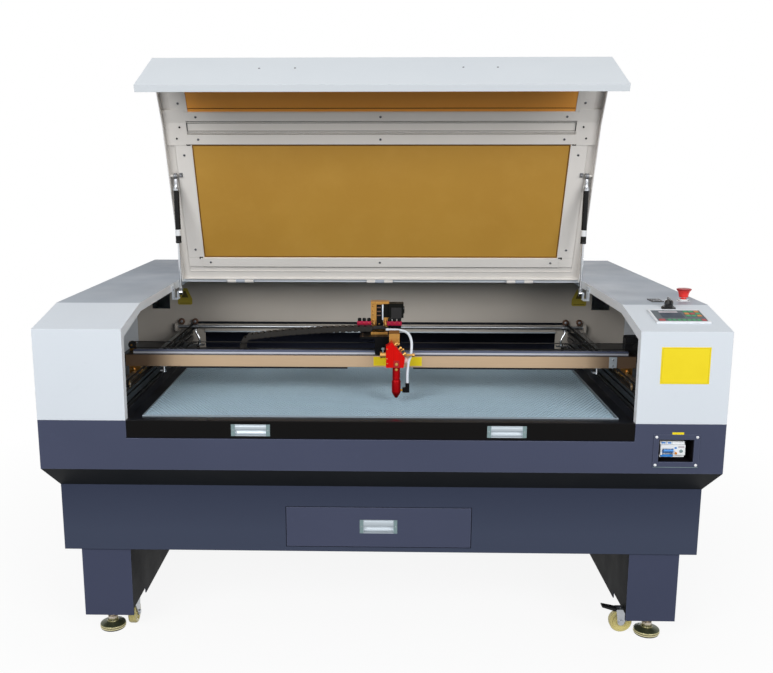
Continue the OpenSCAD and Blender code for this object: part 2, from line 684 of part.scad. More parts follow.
// A flush pull: end caps, a scooped tray and a convex lip over its upper half
module flush_pull(w, h, d) {
    difference() {
        box([-w / 2, 0, 0], [w / 2, d, h]);
        along_x(-w / 2 + 11, w / 2 - 11) translate([0, h / 2]) scale([(d - 1.5) / (h / 2 - 2), 1]) circle(h / 2 - 2);
    }
    along_x(-w / 2 + 11 - over, w / 2 - 11 + over) translate([3.5, h * 0.72]) scale([3 / (h * 0.21), 1]) circle(h * 0.21);
}
module flap_handles() color(STEEL) from_front() grips()
    translate([0, flap_y, grip_z + gap]) flush_pull(grip_w - 2 * gap, grip_h - 2 * gap, 11);

module drawer() color(BLUE) from_front() {
    y0 = front_inset;
    difference() {
        union() {
            box([-drawer_w / 2, y0, drawer_z], [drawer_w / 2, y0 + sheet, drawer_z + drawer_h]);
            box([-drawer_w / 2 + 10, y0, drawer_z + 2], [drawer_w / 2 - 10, y0 + drawer_d, drawer_z + drawer_h - 12]);
        }
        box([-drawer_w / 2 + 12, y0 + sheet, drawer_z + 4],
            [drawer_w / 2 - 12, y0 + drawer_d - 2, drawer_z + drawer_h]);
        box([-grip_w / 2, y0 - over, drawer_z + 40], [grip_w / 2, y0 + sheet + over, drawer_z + 80]);
    }
}
module drawer_handle() color(STEEL) from_front()
    translate([0, front_inset, drawer_z + 40 + gap]) flush_pull(grip_w - 2 * gap, 40 - 2 * gap, 14);

// ---- Gantry ----

block_w = 34;
tray_x0 = -beam_x - 45;
module gantry_beam() color([0.78, 0.70, 0.60]) from_front() {
    difference() {
        box([-beam_x, beam_y, beam_z], [beam_x, beam_y + beam_d, beam_top]);
        box([-beam_x - over, beam_y + 3, beam_z + 3], [beam_x + over, beam_y + beam_d - 3, beam_top - 3]);
    }
    // Steel guide on the beam
    box([-beam_x + 20, xguide_y, beam_top], [beam_x - 20, xguide_y + guide_w, beam_top + xguide_h]);
    // Tray of the drag chain
    box([tray_x0, beam_y + beam_d, beam_z], [chain_fixed_x + 30, beam_y + beam_d + 2, beam_z + 22]);
    box([tray_x0, beam_y + beam_d, beam_z], [chain_fixed_x + 30, chain_y + chain_w / 2 + 4, beam_z + 2]);
    box([tray_x0, chain_y + chain_w / 2 + 2, beam_z], [chain_fixed_x + 30, chain_y + chain_w / 2 + 4, beam_z + 14]);
}
module gantry_ends() color(GOLD) from_front() {
    pair() {
        difference() {
            box([rail_x - block_w / 2, beam_y - 4, guide_top - 8], [rail_x + block_w / 2, beam_y + beam_d + 4, beam_z]);
            box([rail_x - guide_w / 2 - gap, beam_y - 10, rail_top],
                [rail_x + guide_w / 2 + gap, beam_y + beam_d + 10, guide_top + gap]);
        }
        // Clamp on the upper run of the belt
        box([belt_x - 8, beam_y + 14, pulley_z + pulley_r + belt_t + gap], [rail_x - block_w / 2, beam_y + 46, beam_z]);
    }
    // Bracket and pin of the idler at the left end of the beam
    box([-xidler_x - 10, xbelt_y + belt_w / 2 + 2, beam_top], [-xidler_x + 10, xbelt_y + belt_w / 2 + 6, xbelt_z + 8]);
    rod_y(3, xbelt_y - belt_w / 2 - 3, xbelt_y + belt_w / 2 + 2, -xidler_x, xbelt_z);
}
motor_s = 48;
module x_motor() color(BLACK) from_front() {
    y0 = beam_y + beam_d + 3;
    difference() {
        box([drive_x - 24, y0, xbelt_z - 24], [drive_x - 24 + motor_s, y0 + 50, xbelt_z - 24 + motor_s]);
        for (a = [45, 135, 225, 315]) translate([drive_x + 33 * cos(a), y0, xbelt_z + 33 * sin(a)])
            rotate([0, a, 0]) cube([8, 120, 20], center = true);
    }
    rod_y(3, xbelt_y - belt_w / 2 - 3, y0 + 1, drive_x, xbelt_z);
    // Mounting plate down to the beam
    box([drive_x - 30, y0 - 3, beam_z + 4], [drive_x + 24, y0, xbelt_z + 24]);
}
module x_belt() color(BLACK) from_front()
    along_y(xbelt_y - belt_w / 2, xbelt_y + belt_w / 2) belt_loop(-xidler_x, drive_x, xbelt_z, pulley_r);
module x_drive_pulley() color(GOLD) from_front()
    translate([drive_x, xbelt_y, xbelt_z]) rotate([0, 0, 90]) pulley_x(3 + run);
module x_idler_pulley() color(GOLD) from_front()
    translate([-xidler_x, xbelt_y, xbelt_z]) rotate([0, 0, 90]) pulley_x(3 + run);

// ---- Carriage and head, drawn about the head's X ----

module at_head() { from_front() translate([head_x, 0, 0]) children(); }
module carriage() color(BLACK) at_head() {
    difference() {
        box([-62, xguide_y - 10, beam_top + 3], [2, xguide_y + guide_w + 10, plate_z - 6]);
        box([-70, xguide_y - gap, beam_top], [10, xguide_y + guide_w + gap, beam_top + xguide_h + gap]);
    }
    // Plate that carries the head, the chain and the focus drive
    box([-106, xguide_y - 10, plate_z - 6], [2, beam_y + tower_back + 16, plate_z]);
    // Clamp on the upper run of the belt
    box([-60, xguide_y + guide_w + 9, xbelt_z + pulley_r + 4], [-4, xbelt_y + 8, plate_z - 6]);
}
tower_y = beam_y + tower_back;
lift_h = hinge_z - hinge_r - 1.5 - plate_z;
module lift_bracket() color(GOLD) at_head() {
    translate([0, tower_y, plate_z]) {
        difference() {
            box([-75, -14, 0], [-20, 14, lift_h]);
            box([-58, -20, 10], [-37, 20, lift_h - 16]);
            box([-76, -20, 8], [-67, 20, 22]);
        }
        // Guide rods and feet
        rod_z(3, 10, lift_h - 16, -52, 0);
        rod_z(3, 10, lift_h - 16, -42, 0);
        for (x = [-68, -30]) rod_z(5, 0, 18, x, -17);
    }
    // Arm that carries the mirror block
    box([-21, head_y + 18, mirror_top - 16], [9, head_y + 22, plate_z + 16]);
    box([-21, head_y + 18, plate_z + 12], [9, xguide_y + 10, plate_z + 16]);
    box([-21, xguide_y - 6, plate_z], [2, xguide_y + 10, plate_z + 16]);
    box([-74, xguide_y + 26, plate_z], [-24, xguide_y + 32, plate_z + 7]);
}
module lift_motor() color(BLACK) at_head() translate([0, tower_y, plate_z]) {
    box([-20, -21, lift_h - 49], [23, 21, lift_h - 6]);
    rod_x(11, -20 + over, 26, 0, lift_h - 27.5);
}
module clamp_bars() color([0.68, 0.10, 0.28]) at_head() translate([0, tower_y - 10, plate_z]) {
    for (x0 = [-114, -20]) {
        box([x0, -7, 4], [x0 + 36, 7, 14]);
        box([x0 + (x0 < -50 ? 8 : 0), -7, 0], [x0 + (x0 < -50 ? 36 : 20), 7, 4]);
        for (k = [0:2]) rod_z(4.5, 14, 22, x0 + 6 + 12 * k, 0);
    }
}
module mirror_block() color(RED) at_head() {
    y0 = head_y - 17;
    difference() {
        along_y(y0, head_y + 18) polygon([[-30, mirror_z], [20, mirror_z], [24, mirror_z + 28],
            [-14, mirror_top - 2], [-26, mirror_top - 14], [-30, mirror_top - 14]]);
        rod_z(tube_r + run, mirror_z - over, mirror_z + 42, 0, head_y);
        rod_x(9, -31, -10, head_y, mirror_z + 34);
    }
    // Beam inlet and adjusting screws
    difference() {
        rod_x(8, -47, -30, head_y, mirror_z + 34);
        rod_x(6, -48, -29, head_y, mirror_z + 34);
    }
    for (k = [0:2]) translate([-6 + 12 * k, y0 + 8 + 9 * (k % 2), mirror_z + 64 - 14.5 * k]) rotate([0, 50, 0])
        translate([0, 0, -4]) cylinder(r = 3, h = 15);
    rod_x(3, 22, 52, head_y, mirror_z + 34);
    rod_x(5, 44, 52, head_y, mirror_z + 34);
    rod_y(3, y0 - 5, y0, 0, mirror_z + 12);
}
module lens_tube() color(RED) at_head() translate([0, head_y, 0]) {
    difference() {
        rotate_extrude() polygon([[2, tip_z], [4, tip_z], [collar_r - 1, tip_z + 14], [collar_r, tip_z + 16],
            [collar_r, tip_z + 48], [tube_r, tip_z + 52], [tube_r, mirror_z + 26], [8, mirror_z + 26],
            [8, tip_z + 20]]);
    }
    // Air stub and elbow beside the nozzle
    rod_x(3.5, collar_r - 1, 18, 0, tip_z + 22);
    box([18, -6, tip_z + 16], [32, 6, tip_z + 30]);
    rod_z(6, tip_z + 30, tip_z + 43, 32, 0);
    rod_x(6, 18, 32, 0, tip_z + 22);
    rod_z(6, tip_z + 16, tip_z + 30, 32, 0);
}

// Air hose from the carriage plate to the elbow: its points are measured from the head
hose_r = 4;
hose_points = [[-28, 125, plate_z - 679 + 4], [10, 95, plate_z - 679 + 8], [34, 72, plate_z - 679 + 3],
    [44, 48, plate_z - 679 - 18], [42, 20, plate_z - 679 - 50], [35, 4, 104], [32, 0, 72], [32, 0, 43 + 2 * gap]];
hose_steps = 5;
// Point on a smooth curve through the route between points i and i + 1
function route(p, i, t) = let (a = p[max(i - 1, 0)], b = p[i], c = p[i + 1], d = p[min(i + 2, len(p) - 1)])
    0.5 * (2 * b + (c - a) * t + (2 * a - 5 * b + 4 * c - d) * t * t + (3 * b - a - 3 * c + d) * t * t * t);
hose_line = [for (i = [0:len(hose_points) - 2]) for (k = [0:hose_steps - 1]) route(hose_points, i, k / hose_steps),
    hose_points[len(hose_points) - 1]];
// A tube of polygon rings along a line of points
module swept_tube(line, r, sides) {
    n = len(line);
    tangents = [for (i = [0:n - 1]) let (v = line[min(i + 1, n - 1)] - line[max(i - 1, 0)]) v / norm(v)];
    rings = [for (i = [0:n - 1]) let (t = tangents[i], u0 = cross([0.2, 1, 0.1], t), u = u0 / norm(u0), w = cross(t, u))
        for (k = [0:sides - 1]) line[i] + r * (cos(360 * k / sides) * u + sin(360 * k / sides) * w)];
    faces = [for (i = [0:n - 2]) for (k = [0:sides - 1]) let (a = i * sides + k, b = i * sides + (k + 1) % sides)
        [a, b, b + sides, a + sides]];
    polyhedron(points = rings, faces = concat([[for (k = [0:sides - 1]) sides - 1 - k]], faces,
        [[for (k = [0:sides - 1]) (n - 1) * sides + k]]));
}
module air_hose() color("white") at_head() translate([0, head_y, tip_z]) swept_tube(hose_line, hose_r, 10);

// ---- Drag chain ----

// One link, drawn along X from its pitch point
module chain_link(l) {
    difference() {
        union() {
            box([0, -chain_w / 2 + 2, -chain_h / 2], [l * 0.62, chain_w / 2 - 2, chain_h / 2]);
            box([-1, -chain_w / 2, -chain_h / 2 + 3], [l + 1, chain_w / 2, chain_h / 2 - 3]);
        }
        box([-2, -chain_w / 2 + 5, -chain_h / 2 + 3], [l + 2, chain_w / 2 - 5, chain_h / 2 - 3]);
    }
}
chain_top_z = chain_low_z + 2 * bend_r;
low_links = ceil((chain_fixed_x - chain_bend_x) / link_pitch);
top_links = ceil((chain_move_x - chain_bend_x) / link_pitch);
module at_chain() { from_front() translate([chain_bend_x, chain_y, 0]) children(); }
// Keeps only what lies between x0 and x1, so that the runs meet face to face
module trimmed(x0, x1) intersection() {
    children();
    box([x0, -chain_w, chain_low_z - 2 * chain_h], [x1, chain_w, chain_end_z + 3 * chain_h]);
}
module chain_lower() color(BLACK) at_chain() {
    l = (chain_fixed_x - chain_bend_x) / low_links;
    trimmed(gap / 2, chain_fixed_x - chain_bend_x)
        for (i = [0:low_links - 1]) translate([i * l, 0, chain_low_z]) chain_link(l);
}
// The upper run rises to the carriage in a shallow arch. Its links are joined as outlines, then extruded
arch = 12;
module arched(n, run_l, rise) for (i = [0:n - 1]) {
    t = (i + 0.5) / n;
    translate([i * run_l / n, chain_top_z + rise * i / n + 4 * arch * (i / n) * (1 - i / n)])
        rotate(atan2(rise + 4 * arch * (1 - 2 * t), run_l)) children();
}
module chain_upper() color(BLACK) at_chain() {
    rise = chain_end_z + chain_h / 2 - chain_top_z;
    run_l = chain_move_x - chain_bend_x;
    l = run_l / top_links;
    h = chain_h / 2;
    trimmed(gap / 2, run_l) {
        for (y = [-chain_w / 2, chain_w / 2 - 5]) along_y(y, y + 5)
            arched(top_links, run_l, rise) translate([-1, 3 - h]) square([l + 2, 2 * h - 6]);
        for (z = [-h, h - 4]) along_y(-chain_w / 2 + 2, chain_w / 2 - 2)
            arched(top_links, run_l, rise) translate([0, z]) square([l * 0.62, 4]);
    }
}
bend_links = 5;
module chain_bend() color(BLACK) at_chain() {
    step = 180 / bend_links;
    r0 = bend_r - chain_h / 2;
    r1 = bend_r + chain_h / 2;
    trimmed(-3 * bend_r, -gap / 2) translate([0, 0, chain_low_z + bend_r]) {
        // Curved spine, hollow for the cables
        rotate([90, 0, 0]) difference() {
            linear_extrude(chain_w - 5, center = true) difference() {
                circle(r1 - 3);
                circle(r0 + 3);
            }
            linear_extrude(chain_w - 10, center = true) difference() {
                circle(r1 - 5);
                circle(r0 + 5);
            }
        }
        // Side plates of the links
        for (i = [0:bend_links - 1]) for (y = [-chain_w / 2, chain_w / 2 - 3]) along_y(y, y + 3) polygon([
            for (p = [[r0, 4], [r1, 4], [r1, step / 2], [r1, step - 4], [r0, step - 4]])
                p[0] * [cos(90 + step * i + p[1]), sin(90 + step * i + p[1])]]);
    }
}

// ---- Controls ----

module control_panel() color(WHITE) from_front() on_slope(panel_x, panel_y) {
    difference() {
        box([-panel_w / 2, -panel_l / 2, 0], [panel_w / 2, panel_l / 2, 5]);
        box([-panel_w / 2 + 6, -panel_l / 2 + 6, 3.5], [panel_w / 2 - 6, panel_l / 2 - 6, 6]);
    }
    box([-panel_w / 2 + 6, -panel_l / 2 + 6, -30], [panel_w / 2 - 6, panel_l / 2 - 6, 0]);
}
module switch_bases() color(BLACK) from_front() {
    translate([estop_x, estop_y, roof_z]) difference() {
        union() {
            rod_z(17, 0, 2, 0, 0);
            rod_z(11, -26, 5, 0, 0);
        }
        rod_z(8, -20, 9, 0, 0);
    }
    on_slope(key_x, key_y) difference() {
        union() {
            rod_z(19.5, 0, 2, 0, 0);
            rod_z(17, 0, 4, 0, 0);
            rod_z(11, -26, 0, 0, 0);
        }
        rod_z(8, -20, 5, 0, 0);
    }
    translate([port_x, port_y, roof_z]) difference() {
        box([-17, -28, 0], [17, 28, 2]);
        box([-8, -16, -1], [8, -8, 3]);
        box([-8, 8, -1], [8, 16, 3]);
    }
}
module estop_button() color(RED) from_front() translate([estop_x, estop_y, roof_z]) {
    rod_z(8 - run, -14, 12, 0, 0);
    translate([0, 0, 11]) rotate_extrude() polygon([[0, 0], [12.5, 0], [13, 1], [13.6, 6], [14.8, 11], [16.8, 16], [19.4, 19.5],
        [20.6, 21], [21, 22.4], [20.6, 23.8], [19, 24.6], [14, 25], [8, 24.4], [0, 24]]);
}
module key_switch() color(BLACK) from_front() on_slope(key_x, key_y) {
    rod_z(8 - run, -14, 5, 0, 0);
    translate([0, 0, 4.5]) rotate_extrude() polygon([[0, 0], [12, 0], [12, 12], [11.2, 16], [9.5, 18.6], [7, 20.2], [3.5, 21], [0, 21]]);
    box([-2.5, -14, 16], [2.5, 14, 28]);
}
module breaker_panel() color(BLUE) from_front() translate([breaker_x, 0, breaker_z]) {
    difference() {
        box([-breaker_w / 2 - 14, -bezel_t, -breaker_h / 2 - 14], [breaker_w / 2 + 14, 0, breaker_h / 2 + 14]);
        box([-breaker_w / 2, -3, -breaker_h / 2], [breaker_w / 2, over, breaker_h / 2]);
    }
    difference() {
        box([-breaker_w / 2 - 2, 0, -breaker_h / 2 - 2], [breaker_w / 2 + 2, 60, breaker_h / 2 + 2]);
        box([-breaker_w / 2, -over, -breaker_h / 2], [breaker_w / 2, 58, breaker_h / 2]);
    }
}
pole_x = -6;
toggle_z = -6;
module breaker_body() color("white") from_front() translate([breaker_x + pole_x, 0, breaker_z]) difference() {
    union() {
        box([-33, 16, -22], [33, 58, 22]);
        box([-33, 8, -14], [33, 16, 14]);
    }
    box([-28, 6, toggle_z - 9.5], [2, 24, toggle_z + 9.5]);
}
// Two linked levers on one cross pin
module breaker_toggle() color([0.12, 0.30, 0.75]) from_front()
    translate([breaker_x + pole_x, 15, breaker_z + toggle_z]) {
        rod_x(4, -28 + gap, 2 - gap, 0, 0);
        rotate([-25, 0, 0]) for (x = [-26, -12]) box([x, -16, -2.5], [x + 12, 0, 2.5]);
        rotate([-25, 0, 0]) box([-26, -16, -2.5], [0, -12, 2.5]);
    }

// ---- Rear fittings ----

module exhaust_spigot() color(STEEL) from_front() difference() {
    union() {
        rod_y(duct_r, body_d - front_inset, body_d, 0, duct_z);
        rod_y(duct_r + 16, body_d - front_inset, body_d - front_inset + 3, 0, duct_z);
    }
    rod_y(duct_r - 2, body_d - front_inset - over, body_d + over, 0, duct_z);
}
inlet_x = 0.6 * side;
module power_inlet() color(BLACK) from_front() translate([inlet_x, body_d - front_inset, box_z + 60]) difference() {
    union() {
        rod_y(16, 0, 6, 0, 0);
        rod_y(12, 6, 26, 0, 0);
    }
    rod_y(6, -over, 30, 0, 0);
}

base_cabinet();
legs();
levelling_feet();
tower_left();
tower_right();
rear_housing();
chamber_wall();
bed_deck();
honeycomb_frame();
honeycomb();
y_rails();
y_belts();
strut_brackets();
lid_hinges();
control_panel();
switch_bases();
breaker_panel();
breaker_body();
exhaust_spigot();
power_inlet();
sync_shaft();
y_idlers();
lid_shell();
lid_strips();
lid_windows();
gas_cylinders();
gas_rods();
front_flap();
flap_handles();
drawer();
drawer_handle();
gantry_beam();
gantry_ends();
x_motor();
x_belt();
x_drive_pulley();
x_idler_pulley();
carriage();
lift_bracket();
lift_motor();
clamp_bars();
mirror_block();
lens_tube();
air_hose();
chain_lower();
chain_bend();
chain_upper();
estop_button();
key_switch();
breaker_toggle();
fork_front_left();
fork_front_right();
fork_rear_left();
fork_rear_right();
wheel_front_left();
wheel_front_right();
wheel_rear_left();
wheel_rear_right();
brake_left();
brake_right();
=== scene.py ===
import bpy, bmesh
from math import sin, cos, pi, sqrt, hypot, radians, atan2
from mathutils import Vector, Matrix


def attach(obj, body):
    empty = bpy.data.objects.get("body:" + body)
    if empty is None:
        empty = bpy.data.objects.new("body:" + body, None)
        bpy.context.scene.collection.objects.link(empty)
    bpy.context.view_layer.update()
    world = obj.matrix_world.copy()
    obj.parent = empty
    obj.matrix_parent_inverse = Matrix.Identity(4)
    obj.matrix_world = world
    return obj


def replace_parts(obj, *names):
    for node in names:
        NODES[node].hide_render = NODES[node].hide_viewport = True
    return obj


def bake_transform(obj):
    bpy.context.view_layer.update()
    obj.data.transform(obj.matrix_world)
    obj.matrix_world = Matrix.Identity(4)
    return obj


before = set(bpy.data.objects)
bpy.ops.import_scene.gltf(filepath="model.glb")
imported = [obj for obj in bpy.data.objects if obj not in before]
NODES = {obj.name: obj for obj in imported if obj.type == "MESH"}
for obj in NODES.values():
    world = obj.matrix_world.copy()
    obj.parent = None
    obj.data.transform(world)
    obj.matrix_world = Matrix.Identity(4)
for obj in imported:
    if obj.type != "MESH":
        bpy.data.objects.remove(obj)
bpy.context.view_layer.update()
scene = bpy.context.scene

# ======== places
# Pieces are drawn in millimetres, most of them from the front plane as the CAD is, and their base matrix takes them
# to the row frame
FRONT = -0.699
HINGE = (776, 947)          # the lid's hinge line, in Y and Z
OPEN = radians(67.5)
SLOPE_RISE, SLOPE_RUN = 40, 210
SLOPE = atan2(SLOPE_RISE, SLOPE_RUN)
SLOPE_Z = 915                   # where the towers' slope starts
ROOF_Z = 955
STUD, FOOT_STUD = (385, 940), (640, 925)    # a gas strut's studs with the lid shut, in Y and Z
STRUT_X = 658
HEAD_X, HEAD_Y = 49, 195        # the nozzle's axis
TIP_Z, BLOCK_Z = 684, 775       # the nozzle's tip, and the mirror block's underside
PLATE_Y, PLATE_Z = 370, 851     # the carriage's top plate
DUCT_Y, DUCT_Z = 1347, 368      # the lower box's back, and the duct's centre


def T(x=0, y=0, z=0):
    return Matrix.Translation((x, y, z))


def R(axis, a):
    return Matrix.Rotation(a, 4, axis)


DOWN, TO_RIGHT = R("X", pi), R("Y", pi / 2)
AHEAD, BEHIND, ABOVE, BELOW = (0, -1, 0), (0, 1, 0), (0, 0, 1), (0, 0, -1)


def front(x, y, z):
    """A place whose Z points out of the machine's front."""
    return T(x, y, z) @ R("X", pi / 2)


ROOM = T(0, FRONT, 0) @ Matrix.Scale(0.001, 4)
LIFT = T(0, *HINGE) @ R("X", -OPEN) @ T(0, -HINGE[0], -HINGE[1])
LID = ROOM @ LIFT
LID_SLOPE = LID @ T(0, 0, SLOPE_Z) @ R("X", SLOPE)


def P(x, y, z):
    return ROOM @ Vector((x, y, z))


def on_slope(x, y):
    """The towers' slope at depth y, with Z square to it."""
    return T(x, y, SLOPE_Z + y * SLOPE_RISE / SLOPE_RUN) @ R("X", SLOPE)


# ======== camera
cam = bpy.data.objects.new("view_camera", bpy.data.cameras.new("view_camera"))
scene.collection.objects.link(cam)
scene.camera = cam
cam.data.sensor_width = 36
cam.data.lens = 43.563
cam.data.shift_x = 0.0376
cam.data.shift_y = 0.0169
cam.data.clip_end = 60
cam.location = P(1.5, -2423, 1352.4)
cam.rotation_euler = (radians(90 - 11.4), 0, radians(1.4))
scene.view_settings.view_transform = "Standard"


# ======== light
def seen_rays(t):
    """1 for camera, glossy and transmission rays, which see the white studio."""
    ray = t.nodes.new("ShaderNodeLightPath")
    out = ray.outputs["Is Camera Ray"]
    for other in ("Is Glossy Ray", "Is Transmission Ray"):
        m = t.nodes.new("ShaderNodeMath")
        m.operation = "MAXIMUM"
        t.links.new(out, m.inputs[0])
        t.links.new(ray.outputs[other], m.inputs[1])
        out = m.outputs[0]
    return out


def fresh_nodes(owner, *kinds):
    """Empties a node tree and puts these nodes in it."""
    owner.use_nodes = True
    owner.node_tree.nodes.clear()
    return [owner.node_tree.nodes.new("ShaderNode" + k) for k in kinds]


def wire(tree, *links):
    """Links of (node, node, input), or (socket, node, input)."""
    for a, b, i in links:
        tree.links.new(a.outputs[0] if hasattr(a, "outputs") else a, b.inputs[i])


world = bpy.data.worlds.new("studio")
scene.world = world
w_out, w_mix, w_amb, w_see = fresh_nodes(world, "OutputWorld", "MixShader", "Background", "Background")
w_amb.inputs[0].default_value = (0.95, 0.97, 1, 1)
w_amb.inputs[1].default_value = 0.27
w_see.inputs[0].default_value = (1, 1, 1, 1)
w_see.inputs[1].default_value = 1
wire(world.node_tree, (seen_rays(world.node_tree), w_mix, 0), (w_amb, w_mix, 1), (w_see, w_mix, 2), (w_mix, w_out, 0))


def lamp(name, at, to, size, power):
    d = bpy.data.lights.new(name, "AREA")
    d.shape = "RECTANGLE"
    d.size, d.size_y = size
    d.energy = power
    o = bpy.data.objects.new(name, d)
    scene.collection.objects.link(o)
    o.location = at
    o.rotation_euler = (Vector(to) - Vector(at)).to_track_quat("-Z", "Y").to_euler()


lamp("key", (-2.2, -4.3, 2.8), (0, 0, 0.8), (2.8, 2), 128)
lamp("fill", (2.8, -4.2, 2.4), (0, 0, 0.8), (2.6, 2), 108)
lamp("top", (0, -0.6, 4.4), (0, -0.1, 0.8), (3.6, 3), 13)
# Low enough to stay off the roofs, which the photograph has in half light
lamp("rear", (0.4, 4.8, 0.72), (0, 0, 0.72), (3.8, 1), 105)

# ======== materials


def C(h):
    """sRGB hex to linear RGBA."""
    out = []
    for i in (0, 2, 4):
        v = int(h[i:i + 2], 16) / 255
        out.append(v / 12.92 if v <= 0.04045 else ((v + 0.055) / 1.055) ** 2.4)
    return (*out, 1)


class Mat:
    """One procedural material, built up a layer at a time."""

    def __init__(self, name, hex_colour, rough=0.5, metal=0, coat=0, coat_rough=0.1, spec=0.5, soft=0):
        m = bpy.data.materials.new(name)
        m.use_nodes = True
        self.m, self.t, self.b = m, m.node_tree, m.node_tree.nodes["Principled BSDF"]
        self.rgb, self.col, self.normal = C(hex_colour), None, None
        for k, v in {"Base Color": self.rgb, "Roughness": rough, "Metallic": metal, "Coat Weight": coat,
                     "Coat Roughness": coat_rough, "Specular IOR Level": spec}.items():
            self.b.inputs[k].default_value = v
        self.co = self.t.nodes.new("ShaderNodeTexCoord").outputs["Object"]
        if soft:
            self.normal = self.node("Bevel", {"Radius": soft / 1000}, samples=4).outputs["Normal"]
            self.link(self.normal, "Normal")

    def node(self, kind, inputs=None, **settings):
        """A node whose inputs are given as values or as sockets to link."""
        n = self.t.nodes.new("ShaderNode" + kind)
        for k, v in settings.items():
            setattr(n, k, v)
        for k, v in (inputs or {}).items():
            if isinstance(v, bpy.types.NodeSocket):
                self.t.links.new(v, n.inputs[k])
            else:
                n.inputs[k].default_value = v
        return n

    def link(self, socket, target):
        self.t.links.new(socket, self.b.inputs[target])

    def noise(self, scale, detail=2, rough=0.5, stretch=(1, 1, 1)):
        at = self.node("Mapping", {"Scale": stretch, "Vector": self.co}).outputs["Vector"]
        n = self.node("TexNoise", {"Scale": scale, "Detail": detail, "Roughness": rough, "Vector": at})
        return n.outputs["Fac"]

    def math(self, op, a, b=None):
        inputs = {i: v for i, v in enumerate((a, b)) if v is not None}
        return self.node("Math", inputs, operation=op).outputs[0]

    def both(self, a, b):
        return self.math("MULTIPLY", a, b)

    def band(self, value, lo, hi, out_lo=0, out_hi=1):
        """Takes lo..hi of value to out_lo..out_hi."""
        inputs = {"Value": value, 1: lo, 2: hi, 3: out_lo, 4: out_hi}
        return self.node("MapRange", inputs, clamp=True).outputs["Result"]

    def between(self, value, lo, hi, soft=0.0003):
        """1 where value lies between lo and hi."""
        return self.both(self.band(value, lo - soft, lo + soft), self.band(value, hi - soft, hi + soft, 1, 0))

    def dot(self, a, b):
        return self.node("VectorMath", {0: a, 1: b}, operation="DOT_PRODUCT").outputs["Value"]

    def plane(self, n, at):
        """Distance in front of a plane of the row frame."""
        return self.math("SUBTRACT", self.dot(self.co, n), Vector(n).dot(at))

    def tint(self, factor, hex_colour):
        """Mixes another colour in where factor is high."""
        under = self.rgb if self.col is None else self.col
        n = self.node("Mix", {"A": under, "B": C(hex_colour), "Factor": factor}, data_type="RGBA")
        self.col = n.outputs["Result"]
        self.link(self.col, "Base Color")

    def wash(self, value, lo, hi, hex_colour, amount=1):
        """Mixes another colour in as value goes from lo to hi."""
        self.tint(self.band(value, lo, hi, 0, amount), hex_colour)

    def vary_rough(self, factor, lo, hi):
        self.link(self.band(factor, 0.25, 0.75, lo, hi), "Roughness")

    def vary_metal(self, factor, lo, hi):
        self.link(self.band(factor, 0, 1, lo, hi), "Metallic")

    def bump(self, height, strength, distance=0.001):
        inputs = {"Strength": strength, "Distance": distance, "Height": height}
        if self.normal is not None:
            inputs["Normal"] = self.normal
        self.normal = self.node("Bump", inputs).outputs["Normal"]
        self.link(self.normal, "Normal")

    def axis(self, which):
        return self.node("SeparateXYZ", {0: self.co}).outputs[which]

    def edge(self, radius, hex_colour, amount):
        """A painted highlight along edges, found where a rounded normal leaves the true one."""
        rounded = self.node("Bevel", {"Radius": radius / 1000}, samples=4).outputs["Normal"]
        turn = self.dot(rounded, self.node("NewGeometry").outputs["Normal"])
        self.wash(turn, 0.995, 0.9, hex_colour, amount)

    def ground(self, other, along, lo, hi, strength, scale=14, detail=5):
        """Streaks of another tone, of gloss and of height, drawn out along one direction."""
        self.wash(self.noise(scale, detail, 0.6, along), 0.35, 0.7, other, 0.6)
        self.vary_rough(self.noise(20, 4, 0.6, along), lo, hi)
        self.bump(self.noise(30, 3, 0.7, along), strength, 0.0003)


def paint(name, colour, other, dust=None, rough=0.42, spec=0.3, soft=1.6):
    """The colour of a powder coat: slow shifts of tone and, with dust, fine specks."""
    m = Mat(name, colour, rough, spec=spec, soft=soft)
    m.wash(m.noise(2.2, 3), 0.35, 0.75, other, 0.55)
    if dust:
        m.wash(m.noise(38, 6, 0.7), 0.6, 0.78, dust, 0.35)
    return m


def peel(m, lo, hi, grain):
    """The surface of a powder coat: a fine orange peel of uneven gloss."""
    m.vary_rough(m.noise(7, 4), lo, hi)
    m.bump(m.noise(620, 2, 0.6), grain, 0.0006)
    return m.m


def powder(name, colour, other, rough=0.42, grain=0.12, dust=None, spec=0.3, soft=1.6, edge=None):
    """Textured powder coat, with a painted highlight along its edges."""
    m = paint(name, colour, other, dust, rough, spec, soft)
    if edge:
        m.edge(1.6, edge, 0.6)
    return peel(m, rough - 0.07, rough + 0.09, grain)


def brushed(name, colour, other, rough=0.3, along=(1, 60, 60), metal=1, strength=0.1, soft=0):
    """Metal drawn or ground in one direction."""
    m = Mat(name, colour, rough, metal, soft=soft)
    m.ground(other, along, rough - 0.08, rough + 0.12, strength)
    return m.m


def moulded(name, colour, other, rough=0.4, grain=0.08, coat=0, spec=0.35, soft=0):
    m = Mat(name, colour, rough, coat=coat, spec=spec, soft=soft)
    m.wash(m.noise(25, 4), 0.4, 0.8, other, 0.5)
    m.vary_rough(m.noise(60, 3), rough - 0.06, rough + 0.08)
    m.bump(m.noise(900, 2), grain, 0.0004)
    return m.m


